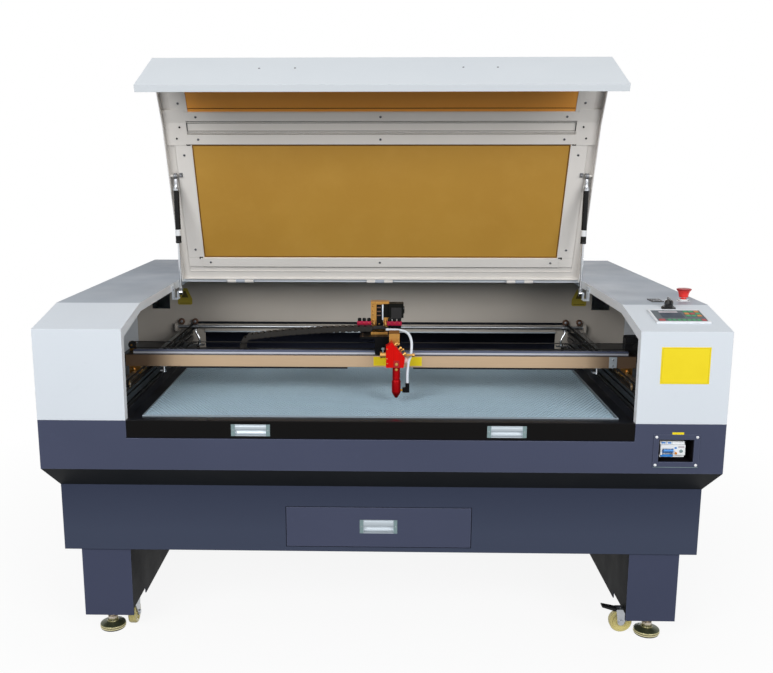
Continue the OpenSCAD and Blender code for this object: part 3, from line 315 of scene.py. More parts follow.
WHITE = powder("white_coat", "dde4eb", "d5dce4", 0.42, 0.1, "d0d7df", 0.25, 2)
LIDIN = powder("lid_inside_coat", "ece8e3", "e4e0da", 0.46, 0.1, None, 0.2, 0.8)
# Dark seam lines beside the pressed bars, partly their joints and partly painted shadow
SEAM_SHADOW = moulded("seam_shadow", "8f8b84", "827e78", 0.6, spec=0.1)
# Dark brown round the panes, partly the film's edge and partly painted shadow
PANE_EDGE_SHADOW = moulded("pane_edge_and_shadow", "6e4a26", "5c3c1e", 0.6, spec=0.1)
# The hinges' white painted greyer, as the shade along the lid's lower edge
HINGES = powder("hinge_coat", "b2bac6", "a6aeba", 0.44, 0.08, None, 0.15)
LINER = powder("liner_coat", "b0a9a0", "a09990", 0.52, 0.08, None, 0.2)
BLACKP = powder("black_coat", "10131a", "0c0e13", 0.32, 0.05, "171a20", 0.2, 0.8)
VOID = powder("carriage_coat", "060709", "040506", 0.45, 0.04, None, 0.08, 0.5)
MOTOR = moulded("motor_black", "080a08", "0b0d0b", 0.5, 0.06, spec=0.08)
GASCYL = powder("cylinder_coat", "0a0a0b", "060607", 0.3, 0.02, None, 0.22, 0.3)
# The flap's coat takes a grey painted highlight along its edges
FLAPM = powder("flap_coat", "080707", "060505", 0.42, 0.05, "0b0a0a", 0.08, 0.8, "3a3a40")
ZINC = brushed("zinc_plate", "b9bcc0", "9ea2a8", 0.34, (1, 1, 1))
SCREW = brushed("screw_head", "86888c", "6c6e72", 0.4, (1, 1, 1), 0.5)
CHROME = brushed("polished_steel", "d5d8dc", "c4c8cc", 0.12, (1, 1, 30), strength=0.03)
BEDFRAME = brushed("bed_frame_aluminium", "a3b1bc", "8d9ba6", 0.38, (60, 1, 60), 0.35)
CELL = brushed("honeycomb_foil", "b0c6d3", "9fb6c4", 0.48, (30, 30, 8), 0.15, 0.05)
TRAY = moulded("tray_sheet", "566c7a", "4a606e", 0.55, 0.03, spec=0.2)
HANDLE = brushed("satin_aluminium", "bcc6cd", "a9b3bb", 0.36, (1, 60, 60), 0.5)
CAPGREY = moulded("handle_cap_grey", "7f9496", "70868a", 0.45)
BRASS = brushed("brass", "cf9f5c", "ad7c3c", 0.28, (1, 1, 1))
BRONZE = brushed("roller_bronze", "6b5040", "4e3a2e", 0.4, (1, 1, 1), 0.5)
BRACKET = brushed("bronze_anodised", "b98a45", "946628", 0.34, (30, 30, 1), 0.6, soft=0.5)
MAGENTA = brushed("magenta_anodised", "b81c48", "8d1236", 0.3, (1, 40, 40), 0.6, 0.05, 0.4)
BELT = moulded("belt_rubber", "141414", "1e1e1e", 0.75, 0.2, spec=0.2)
BLACKM = moulded("black_moulding", "151517", "1e1e20", 0.45, 0.12, spec=0.25, soft=0.5)
CHAINM = moulded("chain_nylon", "2c2a28", "343230", 0.55, 0.12, spec=0.12)
PANELM = moulded("panel_bezel", "e3e6ea", "d8dce0", 0.42, soft=0.6)
WHITEM = moulded("white_moulding", "eef0f2", "e2e6e8", 0.38, soft=0.4)
HOSEM = moulded("hose_white", "e2eaf2", "d6e0ea", 0.3, 0.03, 0.2)
PINK = moulded("fitting_pink", "f0d2cc", "e4c0b8", 0.3, 0.03, 0.2)
REDP = moulded("red_moulding", "f03a34", "e22c28", 0.28, 0.03, 0.3)
# A deeper red, painted as shade on the stop button's top and in the head block's slot, and used on the clamps' caps
DEEP_RED = moulded("deep_red_moulding", "a8191e", "921418", 0.34, 0.03)
KEYM = moulded("key_moulding", "0e0e10", "17171a", 0.22, 0.04, 0.4, spec=0.5)
CREAM = moulded("cream_tread", "d8cb86", "c4b470", 0.36, 0.06, 0.15)
YELLOW = moulded("yellow_film", "f4dc2a", "ecd220", 0.4, 0.03, spec=0.15)
YELLOWD = moulded("yellow_border", "d6c224", "cab61c", 0.4, 0.03, spec=0.15)
# Yellow tag film painted olive, as the shade on it inside the chamber
OLIVE = moulded("tag_film", "a09030", "8a7a22", 0.4, 0.03)
OLIVED = moulded("tag_print", "4c4212", "40380e", 0.45, 0.03)
# Painted shade for the insides of sockets, slots, notches and recesses
RECESS_SHADE = moulded("recess_shade", "060607", "0a0a0b", 0.7, 0.1, spec=0.1)
GREYM = moulded("inset_grey", "5f676c", "575f64", 0.46, 0.03, spec=0.15)
LCD = moulded("display_glass", "444c58", "3c4450", 0.42, 0.01, spec=0.1)
PALE = moulded("display_title", "c6bfc5", "b8b1b8", 0.4, 0.02, spec=0.15)
GREEN = moulded("key_green", "27935a", "1f7d4b", 0.4, 0.04)
ORANGE = moulded("key_orange", "cf7f25", "b96d1a", 0.4, 0.04)
REDK = moulded("key_red", "b0282c", "962024", 0.4, 0.04)
CYAN = moulded("lever_blue", "2f86d6", "2776c4", 0.34, 0.03)
SHEATH = moulded("cable_sheath", "1a1a1b", "242425", 0.5, 0.08, spec=0.25)


def flat_of(matrix, x, y, z, nx, ny, nz):
    """A plane of a piece's own space, as the row frame has it."""
    return (matrix.to_3x3() @ Vector((nx, ny, nz))).normalized(), matrix @ Vector((x, y, z))


def tower_coat(name):
    """White outside, with painted shade on the roofs that deepens towards the back, a painted highlight in brighter
    white on the towers' flanges along the chamber, and painted highlights along the edges.
    """
    m = paint(name, "dde4eb", "d5dce4", "d0d7df", 0.42, 0.25, 2)
    # Painted shade: the roofs greyer, and darker still towards the back
    roof = m.band(m.axis("Z"), 0.9546, 0.9549)
    m.tint(roof, "a4aeba")
    m.tint(m.both(roof, m.band(m.axis("Y"), FRONT + 0.2, FRONT + 1.2)), "747e8c")
    # Painted highlight: a brighter white on the flanges along the chamber
    lip = m.band(m.math("ABSOLUTE", m.axis("X")), 0.6853, 0.6851)
    m.tint(m.both(lip, m.band(m.axis("Y"), FRONT + 0.7702, FRONT + 0.7698)), "f4f9ff")
    # Painted highlight along the edges
    m.edge(1.8, "eef4f9", 0.8)
    return peel(m, 0.35, 0.51, 0.1)


def lid_coat(name):
    """White on the lid's outer faces and warm off-white inside it."""
    m = paint(name, "e6e2dd", "dedad4", None, 0.44, 0.22, 1.2)
    outer = m.band(m.math("ABSOLUTE", m.axis("X")), 0.6772, 0.6776)
    for face in (flat_of(LID, 0, 400, ROOF_Z, 0, 0, 1), flat_of(LID, 0, 0, 800, 0, -1, 0),
                 flat_of(LID, 0, 9, 667, 0, 0, -1), flat_of(LID_SLOPE, 0, 100, 0, 0, 0, 1)):
        outer = m.math("MAXIMUM", outer, m.band(m.plane(*face), -0.0009, -0.0005))
    m.tint(outer, "dfe5ea")
    # Painted highlight along the lid's edges
    m.edge(1.4, "f2f6fa", 0.6)
    return peel(m, 0.37, 0.52, 0.1)


def blue_coat(name, shade=True, spec=0.1):
    """Blue powder coat, with painted shade on the lower box, the undercut and the legs' inner faces, and in the
    recess.
    """
    m = paint(name, "494e64", "41475b", "515770", 0.46, spec)
    # Painted highlight along the edges
    m.edge(1.6, "8b92ac", 0.6)
    x, y, z = m.math("ABSOLUTE", m.axis("X")), m.axis("Y"), m.axis("Z")
    if shade:
        # Painted shade on the lower box, darker towards its top, and on the undercut above it
        for lo, hi, top, colour in ((0.269, 0.2712, 1, "40475a"), (0.33, 0.464, 0.8, "31374a")):
            m.tint(m.both(m.band(z, 0.4643, 0.464), m.band(z, lo, hi, 0, top)), colour)
        m.tint(m.between(z, 0.4645, 0.5265, 0.0004), "0a0e13")
    # Painted shade: the legs' inner faces near black
    m.tint(m.both(m.band(x, 0.7054, 0.705), m.band(z, 0.2708, 0.2704)), "07080b")
    # Painted shade in the breaker panel's recess
    recess = m.both(m.between(m.axis("X"), 0.74, 0.852), m.between(z, 0.55, 0.632))
    m.tint(m.both(recess, m.band(y, FRONT + 0.0025, FRONT + 0.006)), "120f12")
    return peel(m, 0.39, 0.55, 0.16)


TOWER, LIDM = tower_coat("tower_coat"), lid_coat("lid_coat")
BLUE, BLUEF = blue_coat("blue_coat"), blue_coat("drawer_coat", False)
LEGS = blue_coat("leg_coat", True, 0.02)


def film(name):
    """Brown masking film over acrylic: soft mottling, faint creases and a waxy sheen, with painted light and shade on
    the slope's narrow pane.
    """
    m = Mat(name, "c4963f", 0.42, spec=0.3, coat=0.08, coat_rough=0.35)
    m.wash(m.noise(1.6, 3, 0.5), 0.3, 0.7, "b78838", 0.75)
    m.wash(m.noise(9, 5, 0.6), 0.45, 0.75, "cc9e4a", 0.35)
    # Painted light on the narrow pane of the slope, in a brighter brown, and painted shade darkest along its top
    m.wash(m.axis("Z"), 1.42, 1.5, "ffad4a", 0.9)
    m.wash(m.axis("Z"), 1.55, 1.61, "a8702f", 0.5)
    m.vary_rough(m.noise(5, 4), 0.36, 0.5)
    m.bump(m.noise(3, 3), 0.25, 0.004)
    m.bump(m.noise(260, 2), 0.08, 0.0003)
    return m.m


def beam_metal(name):
    """Champagne front on the beam, with painted shadow in dark brown towards its ends, a dark slotted top and a black
    tray behind.
    """
    m = Mat(name, "c4a98a", 0.36, 0.35, soft=0.8)
    m.ground("b89f82", (1, 60, 60), 0.28, 0.44, 0.1)
    # Painted shadow of the towers over the beam's ends
    m.wash(m.math("ABSOLUTE", m.axis("X")), 0.6, 0.68, "5a4434", 0.85)
    # Bands up the top: a dark line painted as the shadow of the gap under the guide, the guide's light face, a dark
    # groove line and a greyer top
    for z, colour in ((0.7945, "241b16"), (0.7964, "c3c6d0"), (0.802, "1c1e22"), (0.8032, "59617a")):
        m.wash(m.axis("Z"), z, z + 0.0004, colour)
    back = m.band(m.axis("Y"), FRONT + 0.3098, FRONT + 0.3102)
    m.tint(back, "18181a")
    m.vary_metal(back, 0.35, 0.1)
    return m.m


def rails(name):
    """Black anodised profile with a bright ground guide on it."""
    m = Mat(name, "131315", 0.34, 0.3, soft=0.6)
    m.ground("1e1e21", (60, 1, 60), 0.24, 0.4, 0.08)
    guide = m.band(m.axis("Z"), 0.7332, 0.7336)
    m.tint(guide, "a7abae")
    m.vary_metal(guide, 0.3, 1)
    return m.m


# The head's X, its block's underside and the nozzle's Y, as materials have them
HX, HZ, HY = HEAD_X / 1000, BLOCK_Z / 1000, FRONT + HEAD_Y / 1000


def head_metal(name, kind):
    """Red anodised head with brass fittings, and on the tube a dark tip and a black elbow."""
    colour, other, metal = ("d80c06", "b80804", 0) if kind == "block" else ("ae0810", "92060c", 0.6)
    m = Mat(name, colour, 0.34, metal, spec=0.12, soft=0.5)
    m.ground(other, (30, 30, 1), 0.24, 0.4, 0.05, 18, 4)
    x, y, z = m.axis("X"), m.axis("Y"), m.axis("Z")
    if kind == "block":
        slant = m.plane(Vector((sin(radians(50)), 0, cos(radians(50)))), Vector((HX - 0.014, 0, HZ + 0.074)))
        brass = m.band(x, HX - 0.0306, HX - 0.0302, 1, 0)
        for face in (m.band(x, HX + 0.024, HX + 0.0244), m.band(slant, 0.0004, 0.0008),
                     m.band(y, HY - 0.0175, HY - 0.0172, 1, 0)):
            brass = m.math("MAXIMUM", brass, face)
        m.tint(brass, "cf9f5c")
        m.vary_metal(brass, 0, 0.9)
    else:
        m.tint(m.band(z, 0.684, 0.699, 0.85, 0), "3a0606")
        for groove in (0.7005, 0.7325, 0.738, 0.772):
            m.tint(m.between(z, groove, groove + 0.0012), "5c0808")
        m.wash(x, HX + 0.0131, HX + 0.0134, "c99a45")
        m.wash(x, HX + 0.0177, HX + 0.0179, "141416")
    return m.m


def foot_metal(name):
    """Yellow-zinc foot over a dark rubber sole, with painted highlights on its two rings, painted shade in the groove
    between them and on its dome, and a painted highlight up its nut and stem.
    """
    m = Mat(name, "8f8a62", 0.3, 0.7)
    m.wash(m.noise(30, 5, 0.6), 0.35, 0.7, "6f6c4a", 0.7)
    z = m.axis("Z")
    sole = m.band(z, 0.0036, 0.0042, 1, 0)
    m.tint(sole, "121110")
    # Painted highlights on the rings, painted shade in the groove and on the dome, and a painted highlight up the nut
    # and stem
    for lo, hi, colour in ((0.005, 0.0082, "d8d0a4"), (0.0086, 0.01, "3a3626"), (0.0104, 0.0132, "c4bc90"),
                           (0.014, 0.021, "4f5540"), (0.03, 0.07, "cfc4b4")):
        m.tint(m.between(z, lo, hi), colour)
    m.vary_metal(sole, 0.6, 0)
    m.vary_rough(m.noise(20, 4), 0.24, 0.42)
    m.bump(m.noise(160, 3), 0.05, 0.0003)
    return m.m


FILM, FOOT = film("amber_film"), foot_metal("foot_metal")
BEAM, RAILS = beam_metal("beam_metal"), rails("rail_metal")
RED_BLOCK, RED_TUBE = head_metal("red_block", "block"), head_metal("red_tube", "tube")

# CAD nodes and the material each is given
LOOKS = {
    "base_cabinet breaker_panel": BLUE, "legs": LEGS, "levelling_feet": FOOT,
    "tower_left tower_right rear_housing": TOWER, "chamber_wall": LINER, "bed_deck": BLACKP,
    "honeycomb_frame": BEDFRAME, "honeycomb": CELL, "y_rails": RAILS, "y_belts x_belt": BELT,
    "strut_brackets": WHITE, "lid_hinges": HINGES, "control_panel": PANELM,
    "switch_bases power_inlet x_motor": BLACKM, "breaker_body": WHITEM, "exhaust_spigot sync_shaft": ZINC,
    "y_idlers gantry_ends": BRASS, "lid_shell": LIDM, "lid_strips": LIDIN, "lid_windows": FILM,
    "gas_cylinders": GASCYL, "gas_rods": CHROME, "front_flap": FLAPM, "flap_handles drawer_handle": HANDLE,
    "drawer": BLUEF, "gantry_beam": BEAM, "x_drive_pulley x_idler_pulley": SHEATH, "carriage": VOID,
    "lift_bracket": BRACKET, "lift_motor": MOTOR, "clamp_bars": MAGENTA, "mirror_block": RED_BLOCK,
    "lens_tube": RED_TUBE, "air_hose": HOSEM, "chain_lower chain_bend chain_upper": CHAINM, "estop_button": REDP,
    "key_switch": KEYM, "breaker_toggle": CYAN}
by_node = {n: m for names, m in LOOKS.items() for n in names.split()}
for n, o in NODES.items():
    m = by_node.get(n, ZINC if n.startswith("fork") else CREAM if n.startswith("wheel") else BLACKM)
    o.data.materials.clear()
    o.data.materials.append(m)


# ======== pieces
class Piece:
    """Small shapes in millimetres, joined into one mesh."""

    def __init__(self, name, base=ROOM):
        self.name, self.base, self.bm, self.mats = name, base, bmesh.new(), []

    def put(self, verts, faces, mat, M, bevel=0):
        if mat not in self.mats:
            self.mats.append(mat)
        k = self.mats.index(mat)
        vs = [self.bm.verts.new(M @ Vector(v)) for v in verts]
        fs = []
        for f in faces:
            face = self.bm.faces.new([vs[i] for i in f])
            face.material_index = k
            face.smooth = True
            fs.append(face)
        if bevel:
            edges = list({e for f in fs for e in f.edges if e.calc_face_angle(0) > 0.5})
            bmesh.ops.bevel(self.bm, geom=edges, offset=bevel, segments=2, affect="EDGES", profile=0.6,
                            clamp_overlap=True)

    def box(self, lo, hi, mat, bevel=0, M=Matrix()):
        v = [(x, y, z) for x in (lo[0], hi[0]) for y in (lo[1], hi[1]) for z in (lo[2], hi[2])]
        f = [(0, 1, 3, 2), (4, 6, 7, 5), (0, 4, 5, 1), (2, 3, 7, 6), (0, 2, 6, 4), (1, 5, 7, 3)]
        self.put(v, f, mat, M, bevel)

    def bars(self, *rows):
        """Boxes centred on X: half width, Y from and to, Z from and to, material and bevel."""
        for x, y0, y1, z0, z1, mat, bevel in rows:
            self.box((-x, y0, z0), (x, y1, z1), mat, bevel)

    def side_box(self, s, lo, hi, mat, bevel=0):
        """A box given for the right side, mirrored where s is -1."""
        x0, x1 = sorted((s * lo[0], s * hi[0]))
        self.box((x0, *lo[1:]), (x1, *hi[1:]), mat, bevel)

    def prism(self, outline, z0, z1, mat, bevel=0, M=Matrix()):
        """An outline in X and Y, raised from z0 to z1."""
        n = len(outline)
        v = [(x, y, z) for z in (z0, z1) for x, y in outline]
        self.put(v, [tuple(reversed(range(n))), tuple(range(n, 2 * n))] +
                 [(i, (i + 1) % n, n + (i + 1) % n, n + i) for i in range(n)], mat, M, bevel)

    def lathe(self, profile, mat, M=Matrix(), n=24):
        """A profile of (radius, height) turned about Z; a radius of 0 closes it."""
        v, rings = [], []
        for r, h in profile:
            if r <= 1e-6:
                rings.append([len(v)])
                v.append((0, 0, h))
            else:
                rings.append([len(v) + i for i in range(n)])
                v += [(r * cos(2 * pi * i / n), r * sin(2 * pi * i / n), h) for i in range(n)]
        f = []
        for a, b in zip(rings, rings[1:]):
            for i in range(n):
                j = (i + 1) % n
                if len(a) == 1:
                    f.append((a[0], b[j], b[i]))
                elif len(b) == 1:
                    f.append((a[i], a[j], b[0]))
                else:
                    f.append((a[i], a[j], b[j], b[i]))
        self.put(v, f, mat, M)

    def tube(self, line, r, mat, n):
        """A round tube along a line of points, closed at its ends."""
        line = [Vector(p) for p in line]
        v, f, u = [], [], Vector((0.2, 1, 0.1))
        for i, p in enumerate(line):
            t = (line[min(i + 1, len(line) - 1)] - line[max(i - 1, 0)]).normalized()
            u = (u - t * u.dot(t)).normalized()
            w = t.cross(u)
            v += [p + r * (cos(2 * pi * k / n) * u + sin(2 * pi * k / n) * w) for k in range(n)]
        for i in range(len(line) - 1):
            for k in range(n):
                a, b = i * n + k, i * n + (k + 1) % n
                f.append((a, b, b + n, a + n))
        f += [tuple(reversed(range(n))), tuple(range(len(v) - n, len(v)))]
        self.put(v, f, mat, Matrix())

    def cable(self, points, r, mat=SHEATH, n=8, steps=6):
        self.tube(smooth_line(points, steps), r, mat, n)

    def screw(self, at, up, r, mat, h, M=Matrix()):
        """A button-head screw with painted shade in its socket, standing on a surface that faces up."""
        q = M @ T(*at) @ Vector((0, 0, 1)).rotation_difference(Vector(up)).to_matrix().to_4x4()
        self.lathe([(r, 0), (r, h * 0.35), (r * 0.86, h * 0.8), (r * 0.62, h), (r * 0.5, h)], mat, q, 20)
        self.lathe([(r * 0.5, h), (r * 0.46, h * 0.3), (0, h * 0.3)], RECESS_SHADE, q, 6)

    def done(self, body, slot=None, ride=True):
        bmesh.ops.recalc_face_normals(self.bm, faces=self.bm.faces)
        me = bpy.data.meshes.new(self.name)
        self.bm.transform(self.base)
        self.bm.to_mesh(me)
        self.bm.free()
        for m in self.mats:
            me.materials.append(m)
        me.set_sharp_from_angle(angle=radians(38))
        o = bpy.data.objects.new(self.name, me)
        scene.collection.objects.link(o)
        if ride:
            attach(o, body)
        return o


def rect(x0, y0, x1, y1):
    return [(x0, y0), (x1, y0), (x1, y1), (x0, y1)]


def smooth_line(points, steps):
    """Points on a smooth curve through the route."""
    p = [Vector(q) for q in points]
    out = []
    for i in range(len(p) - 1):
        a, b, c, d = p[max(i - 1, 0)], p[i], p[i + 1], p[min(i + 2, len(p) - 1)]
        for k in range(steps):
            t = k / steps
            out.append(0.5 * (2 * b + (c - a) * t + (2 * a - 5 * b + 4 * c - d) * t * t
                              + (3 * b - a - 3 * c + d) * t ** 3))
    return out + [p[-1]]


# ---- Lid: screws, pressed bars with their seams, dark pane edges, notches and the struts' anchors; the seams and pane edges are partly painted shadow, and the notches hold painted shade
p = Piece("lid_fasteners", LID)
for x, y, z in ((573, 265, 944.6), (623, 318, 947), (623, 655, 947), (575, 702, 944.6), (0, 265, 944.6),
                (0, 702, 944.6)):
    for side in sorted({x, -x}):
        p.screw((side, y, z), BELOW, 4, SCREW, 2.2)
for x, z in ((-348, 811), (-245, 813), (236, 817), (334, 817)):
    p.screw((x, 0, z), AHEAD, 3.2, SCREW, 1.6)
p.done("lid", "zinc")
p = Piece("lid_slope_fasteners", LID_SLOPE)
for x, y, z in ((622, 146, -8), (573, 192, -10.3), (0, 192, -10.3)):
    for side in sorted({x, -x}):
        p.screw((side, y, z), BELOW, 4, SCREW, 2.2)
p.done("lid", "zinc")
p = Piece("lid_frame_bars", LID)
p.bars((612, 249.5, 281, 944.6, 946.98, LIDIN, 1.1), (603, 687, 719, 944.6, 946.98, LIDIN, 1.1),
       (650, 738, 741, 949.6, 951.6, LIDIN, 0.5), (603, 721.5, 724, 951.2, 951.98, SEAM_SHADOW, 0),
       (606, 213.2, 214.5, 950.8, 951.98, SEAM_SHADOW, 0), (606, 238.6, 239.9, 950.8, 951.98, SEAM_SHADOW, 0),
       (606, 247.3, 248.7, 946, 946.98, SEAM_SHADOW, 0), (606, 281.6, 282.9, 946, 946.98, SEAM_SHADOW, 0),
       (600, 719.6, 720.6, 946.3, 952, SEAM_SHADOW, 0), (594, 285, 286.6, 947.2, 948.95, PANE_EDGE_SHADOW, 0),
       (594, 680.4, 682, 947.2, 948.95, PANE_EDGE_SHADOW, 0))
for s in (1, -1):
    p.side_box(s, (606, 209.4, 945.6), (674.6, 285, 946.6), LIDIN, 0.3)
    # Painted shadow: grey lines at the ends of the recess between the bars
    p.side_box(s, (603.8, 213, 950.6), (605.6, 240, 951.9), GREYM)
    p.side_box(s, (592.6, 286, 947.2), (594, 681, 948.95), PANE_EDGE_SHADOW)
    p.side_box(s, (650, 286, 949.8), (652, 745, 951.6), LIDIN, 0.4)
p.done("lid", "white_paint")
p = Piece("lid_slope_bars", LID_SLOPE)
p.bars((612, 176.5, 206.5, -10.3, -8.02, LIDIN, 1.1), (606, 207, 208.2, -8.9, -8, SEAM_SHADOW, 0),
       (594, 163.4, 164.8, -7.8, -6.05, PANE_EDGE_SHADOW, 0))
for s in (1, -1):
    p.side_box(s, (606, 168, -9.4), (674.6, 213.9, -8.4), LIDIN, 0.3)
p.done("lid", "white_paint")
p = Piece("lid_notches", LID)
for s in (1, -1):
    for y, ahead, behind in ((284, 9, 1), (684, 1, 6)):
        p.side_box(s, (600, y - 1.4, 945.2), (612, y + 1.4, 946.9), RECESS_SHADE)
        p.side_box(s, (609.4, y - ahead, 945.2), (612, y + behind, 946.9), RECESS_SHADE)
    for x, y in ((628, 225), (640, 262)):
        p.lathe([(0, 3.2), (2.6, 2.8), (3, 0)], RECESS_SHADE, T(s * x, y, 945.7) @ DOWN, 14)
p.done("lid", "black_plastic")
p = Piece("lid_strut_anchors", LID)
for s in (1, -1):
    p.side_box(s, (636, 378, 944.5), (646, 392, 947), SCREW, 0.8)
    p.lathe([(0, 8), (2.6, 7.4), (4.2, 5.6), (4.4, 3.6), (4, 1.8), (2.8, 0.4), (2.8, 0)], SCREW,
            T(s * 641, STUD[0], 944.6) @ DOWN, 18)
p.done("lid", "bright_steel")

# ---- Gas struts: crimps, label bands, eyes and the bolts of their feet
stud, foot = LIFT @ Vector((0, *STUD)), Vector((0, *FOOT_STUD))
tilt = atan2(foot.y - stud.y, stud.z - foot.z)
reach = (stud - foot).length
end = hypot(FOOT_STUD[0] - STUD[0], STUD[1] - FOOT_STUD[1]) - 39      # the cylinder's end, below its stud
half_eye = 5
upper, lower = Piece("strut_trims"), Piece("strut_rod_trims")
for s in (1, -1):
    M = T(s * STRUT_X, stud.y, stud.z) @ R("X", tilt)
    upper.lathe([(9.02, -40.5), (9.5, -41), (9.5, -46), (9.02, -46.5)], ZINC, M)
    upper.lathe([(9.02, 24 - end), (9.3, 24.2 - end), (9.3, 44 - end), (9.02, 44.2 - end)], WHITEM, M)
    upper.lathe([(9.02, 3 - end), (9.4, 2 - end), (9.4, 6 - end), (9.02, 7 - end)], BLACKM, M)
    upper.lathe([(4.9, -9), (6, -10), (6.3, -12), (6.3, -22), (5.2, -23), (5.2, -25), (6.3, -26), (6.3, -34),
                 (7.8, -37), (9.3, -40.2)], ZINC, M, 24)
    ring = [(4.4, -half_eye - 0.2), (7.8, -half_eye - 0.2), (8.5, 0.8 - half_eye)]
    upper.lathe(ring + [(r, -h) for r, h in reversed(ring)], SCREW, M @ TO_RIGHT, 24)
    upper.lathe([(0, 8.4), (4, 7.4), (6.2, 4.6), (6.2, 0)], CHROME, M @ R("Y", s * pi / 2) @ T(0, 0, -1), 20)
    lower.lathe([(6.05, 10 - reach), (6.9, 10 - reach), (6.9, 15 - reach), (6.05, 15 - reach)], ZINC, M, 6)
upper.done("strut_cylinders", "zinc")
lower.done("strut_rods", "zinc")
p = Piece("strut_foot_bolts")
for s in (1, -1):
    for y in (628, 652):
        p.screw((s * 682, y, 936), (-s, 0, 0), 3.6, ZINC, 2.4)
    p.lathe([(0, 5), (3, 4.4), (4.6, 2.2), (5, 0)], CHROME,
            T(s * (STRUT_X + 6.2), *FOOT_STUD) @ R("Y", -s * pi / 2), 20)
p.done("chassis", "zinc")


# ---- Honeycomb core: hexagonal cells of thin foil, standing in the frame
def honeycomb(x1, y0, y1, z0, z1, cell=11.5, t=1.1):
    """One lattice of whole walls, shared between a left and a right piece."""
    halves = ([], []), ([], [])
    side = cell / 3 ** 0.5
    for r in range(int((y1 - y0) / (side * 1.5)) + 2):
        for c in range(int(2 * x1 / cell) + 2):
            m = Vector((c * cell + (r % 2) * cell / 2 - x1, y0 + r * side * 1.5))
            q = [m + side * Vector((sin(pi / 3 * k), cos(pi / 3 * k))) for k in range(4)]
            for a, b in zip(q, q[1:]):
                if any(abs(e.x) > x1 or not y0 <= e.y <= y1 for e in (a, b)):
                    continue
                v, f = halves[a.x + b.x > 0]
                n = Vector((a.y - b.y, b.x - a.x)).normalized() * t / 2
                k = len(v)
                for z in (z0, z1):
                    v.extend((*e, z) for e in (a + n, b + n, b - n, a - n))
                f.extend([(k + 4, k + 7, k + 6, k + 5), (k, k + 1, k + 5, k + 4), (k + 2, k + 3, k + 7, k + 6)])
    for i, (v, f) in enumerate(halves):
        me = bpy.data.meshes.new("honeycomb_cells_%d" % (i + 1))
        me.from_pydata([ROOM @ Vector(q) for q in v], [], f)
        me.materials.append(CELL)
        o = bpy.data.objects.new(me.name, me)
        scene.collection.objects.link(o)
        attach(o, "chassis")
        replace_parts(o, "honeycomb")


BED_X, BED_Y0, BED_Y1 = 646, 48.5, 941.5
honeycomb(BED_X + 0.5, BED_Y0, BED_Y1, 656.2, 667.8)
p = Piece("honeycomb_tray")
p.prism(rect(-BED_X, BED_Y0, BED_X, BED_Y1), 655, 656, TRAY)
p.done("chassis", "bed_aluminium")

# ---- Drag chain
LINK_H, LINK_W = 17.5, 30


def link(p, M, l, k):
    """One nylon link of length l: waisted side plates, a pin on each and two snap-in bars."""
    h, w = LINK_H / 2 - 2, LINK_W / 2 - (k % 2) * 0.5
    lower = [(-0.5, -h + 0.8), (1.2, -h), (l * 0.42, -h), (l * 0.5, -h + 0.6), (l * 0.58, -h), (l - 1.2, -h),
             (l + 0.5, -h + 0.8)]
    outline = lower + [(x, -z) for x, z in reversed(lower)]
    for s in (1, -1):
        p.prism(outline, 0, 4.2, CHAINM, 0.5, M @ front(0, w if s > 0 else -w + 4.2, 0))
        p.lathe([(3.6, 0), (3.6, 0.45), (2.8, 0.6), (0, 0.6)], CHAINM,
                M @ T(l * 0.9, s * w - s * 0.2, 0) @ R("X", -s * pi / 2), 14)
    for z in (h, -h - 2):
        p.box((1, -w + 2, z), (l * 0.74, w - 2, z + 2), CHAINM, 0.6, M)


low_z, bend_r, bend_x, cy = 774.3, 31.5, -378, 332
top_z, end_z = low_z + 2 * bend_r, 862
low_end, top_end = -42, -22         # where the runs are held, in X
low_run, top_run = low_end - bend_x, top_end - bend_x
p = Piece("chain_lower_links")
n = 18
for i in range(n):
    link(p, T(bend_x + i * low_run / n, cy, low_z), low_run / n, i)
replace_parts(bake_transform(p.done("gantry", "black_plastic", False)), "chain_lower")
p = Piece("chain_upper_links")
n = 19
rise, bulge = end_z - top_z, 22
for i in range(n):
    tip = -atan2(rise + bulge * (1 - (2 * i + 1) / n), top_run)
    z = top_z + rise * i / n + bulge * (i / n) * (1 - i / n)
    link(p, T(bend_x + i * top_run / n, cy, z) @ R("Y", tip), top_run / n, i)
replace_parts(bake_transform(p.done("head", "black_plastic", False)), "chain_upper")
p = Piece("chain_bend_links")
n = 5
l = bend_r * pi / n * 0.9
for i in range(n):
    a = pi / 2 + pi * (i + 0.5) / n
    M = T(bend_x + bend_r * cos(a), cy, low_z + bend_r + bend_r * sin(a))
    link(p, M @ R("Y", -(a + pi / 2)) @ T(-l / 2, 0, 0), l, i)
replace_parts(p.done("chain_turn", "black_plastic"), "chain_bend")

# ---- Air hose, blended between the head and the focus tube
BLOCK = ROOM @ T(HEAD_X, HEAD_Y, BLOCK_Z)
PLATE = ROOM @ T(HEAD_X, PLATE_Y, PLATE_Z)
p = Piece("air_hose_tube", ROOM @ T(HEAD_X, HEAD_Y, TIP_Z))
p.cable([(-28, 125, 176), (10, 95, 180), (34, 72, 175), (44, 48, 154), (42, 20, 122), (35, 4, 104), (32, 0, 72),
         (32, 0, 43.6)], 4, HOSEM, 14, 8)
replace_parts(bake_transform(p.done("head", "white_hose", False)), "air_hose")

# ---- Head: brass fittings, rods and knobs
p = Piece("head_brass", BLOCK)
for k in range(3):
    M = T(12 * k - 6, 9 * (k % 2) - 9, 64 - 14.5 * k) @ R("Y", radians(50)) @ T(0, 0, 5)
    p.lathe([(3.1, 0), (4.6, 0.6), (4.6, 5), (4, 6), (2.2, 6.3), (2, 5.2), (0, 5.2)], BRASS, M, 16)
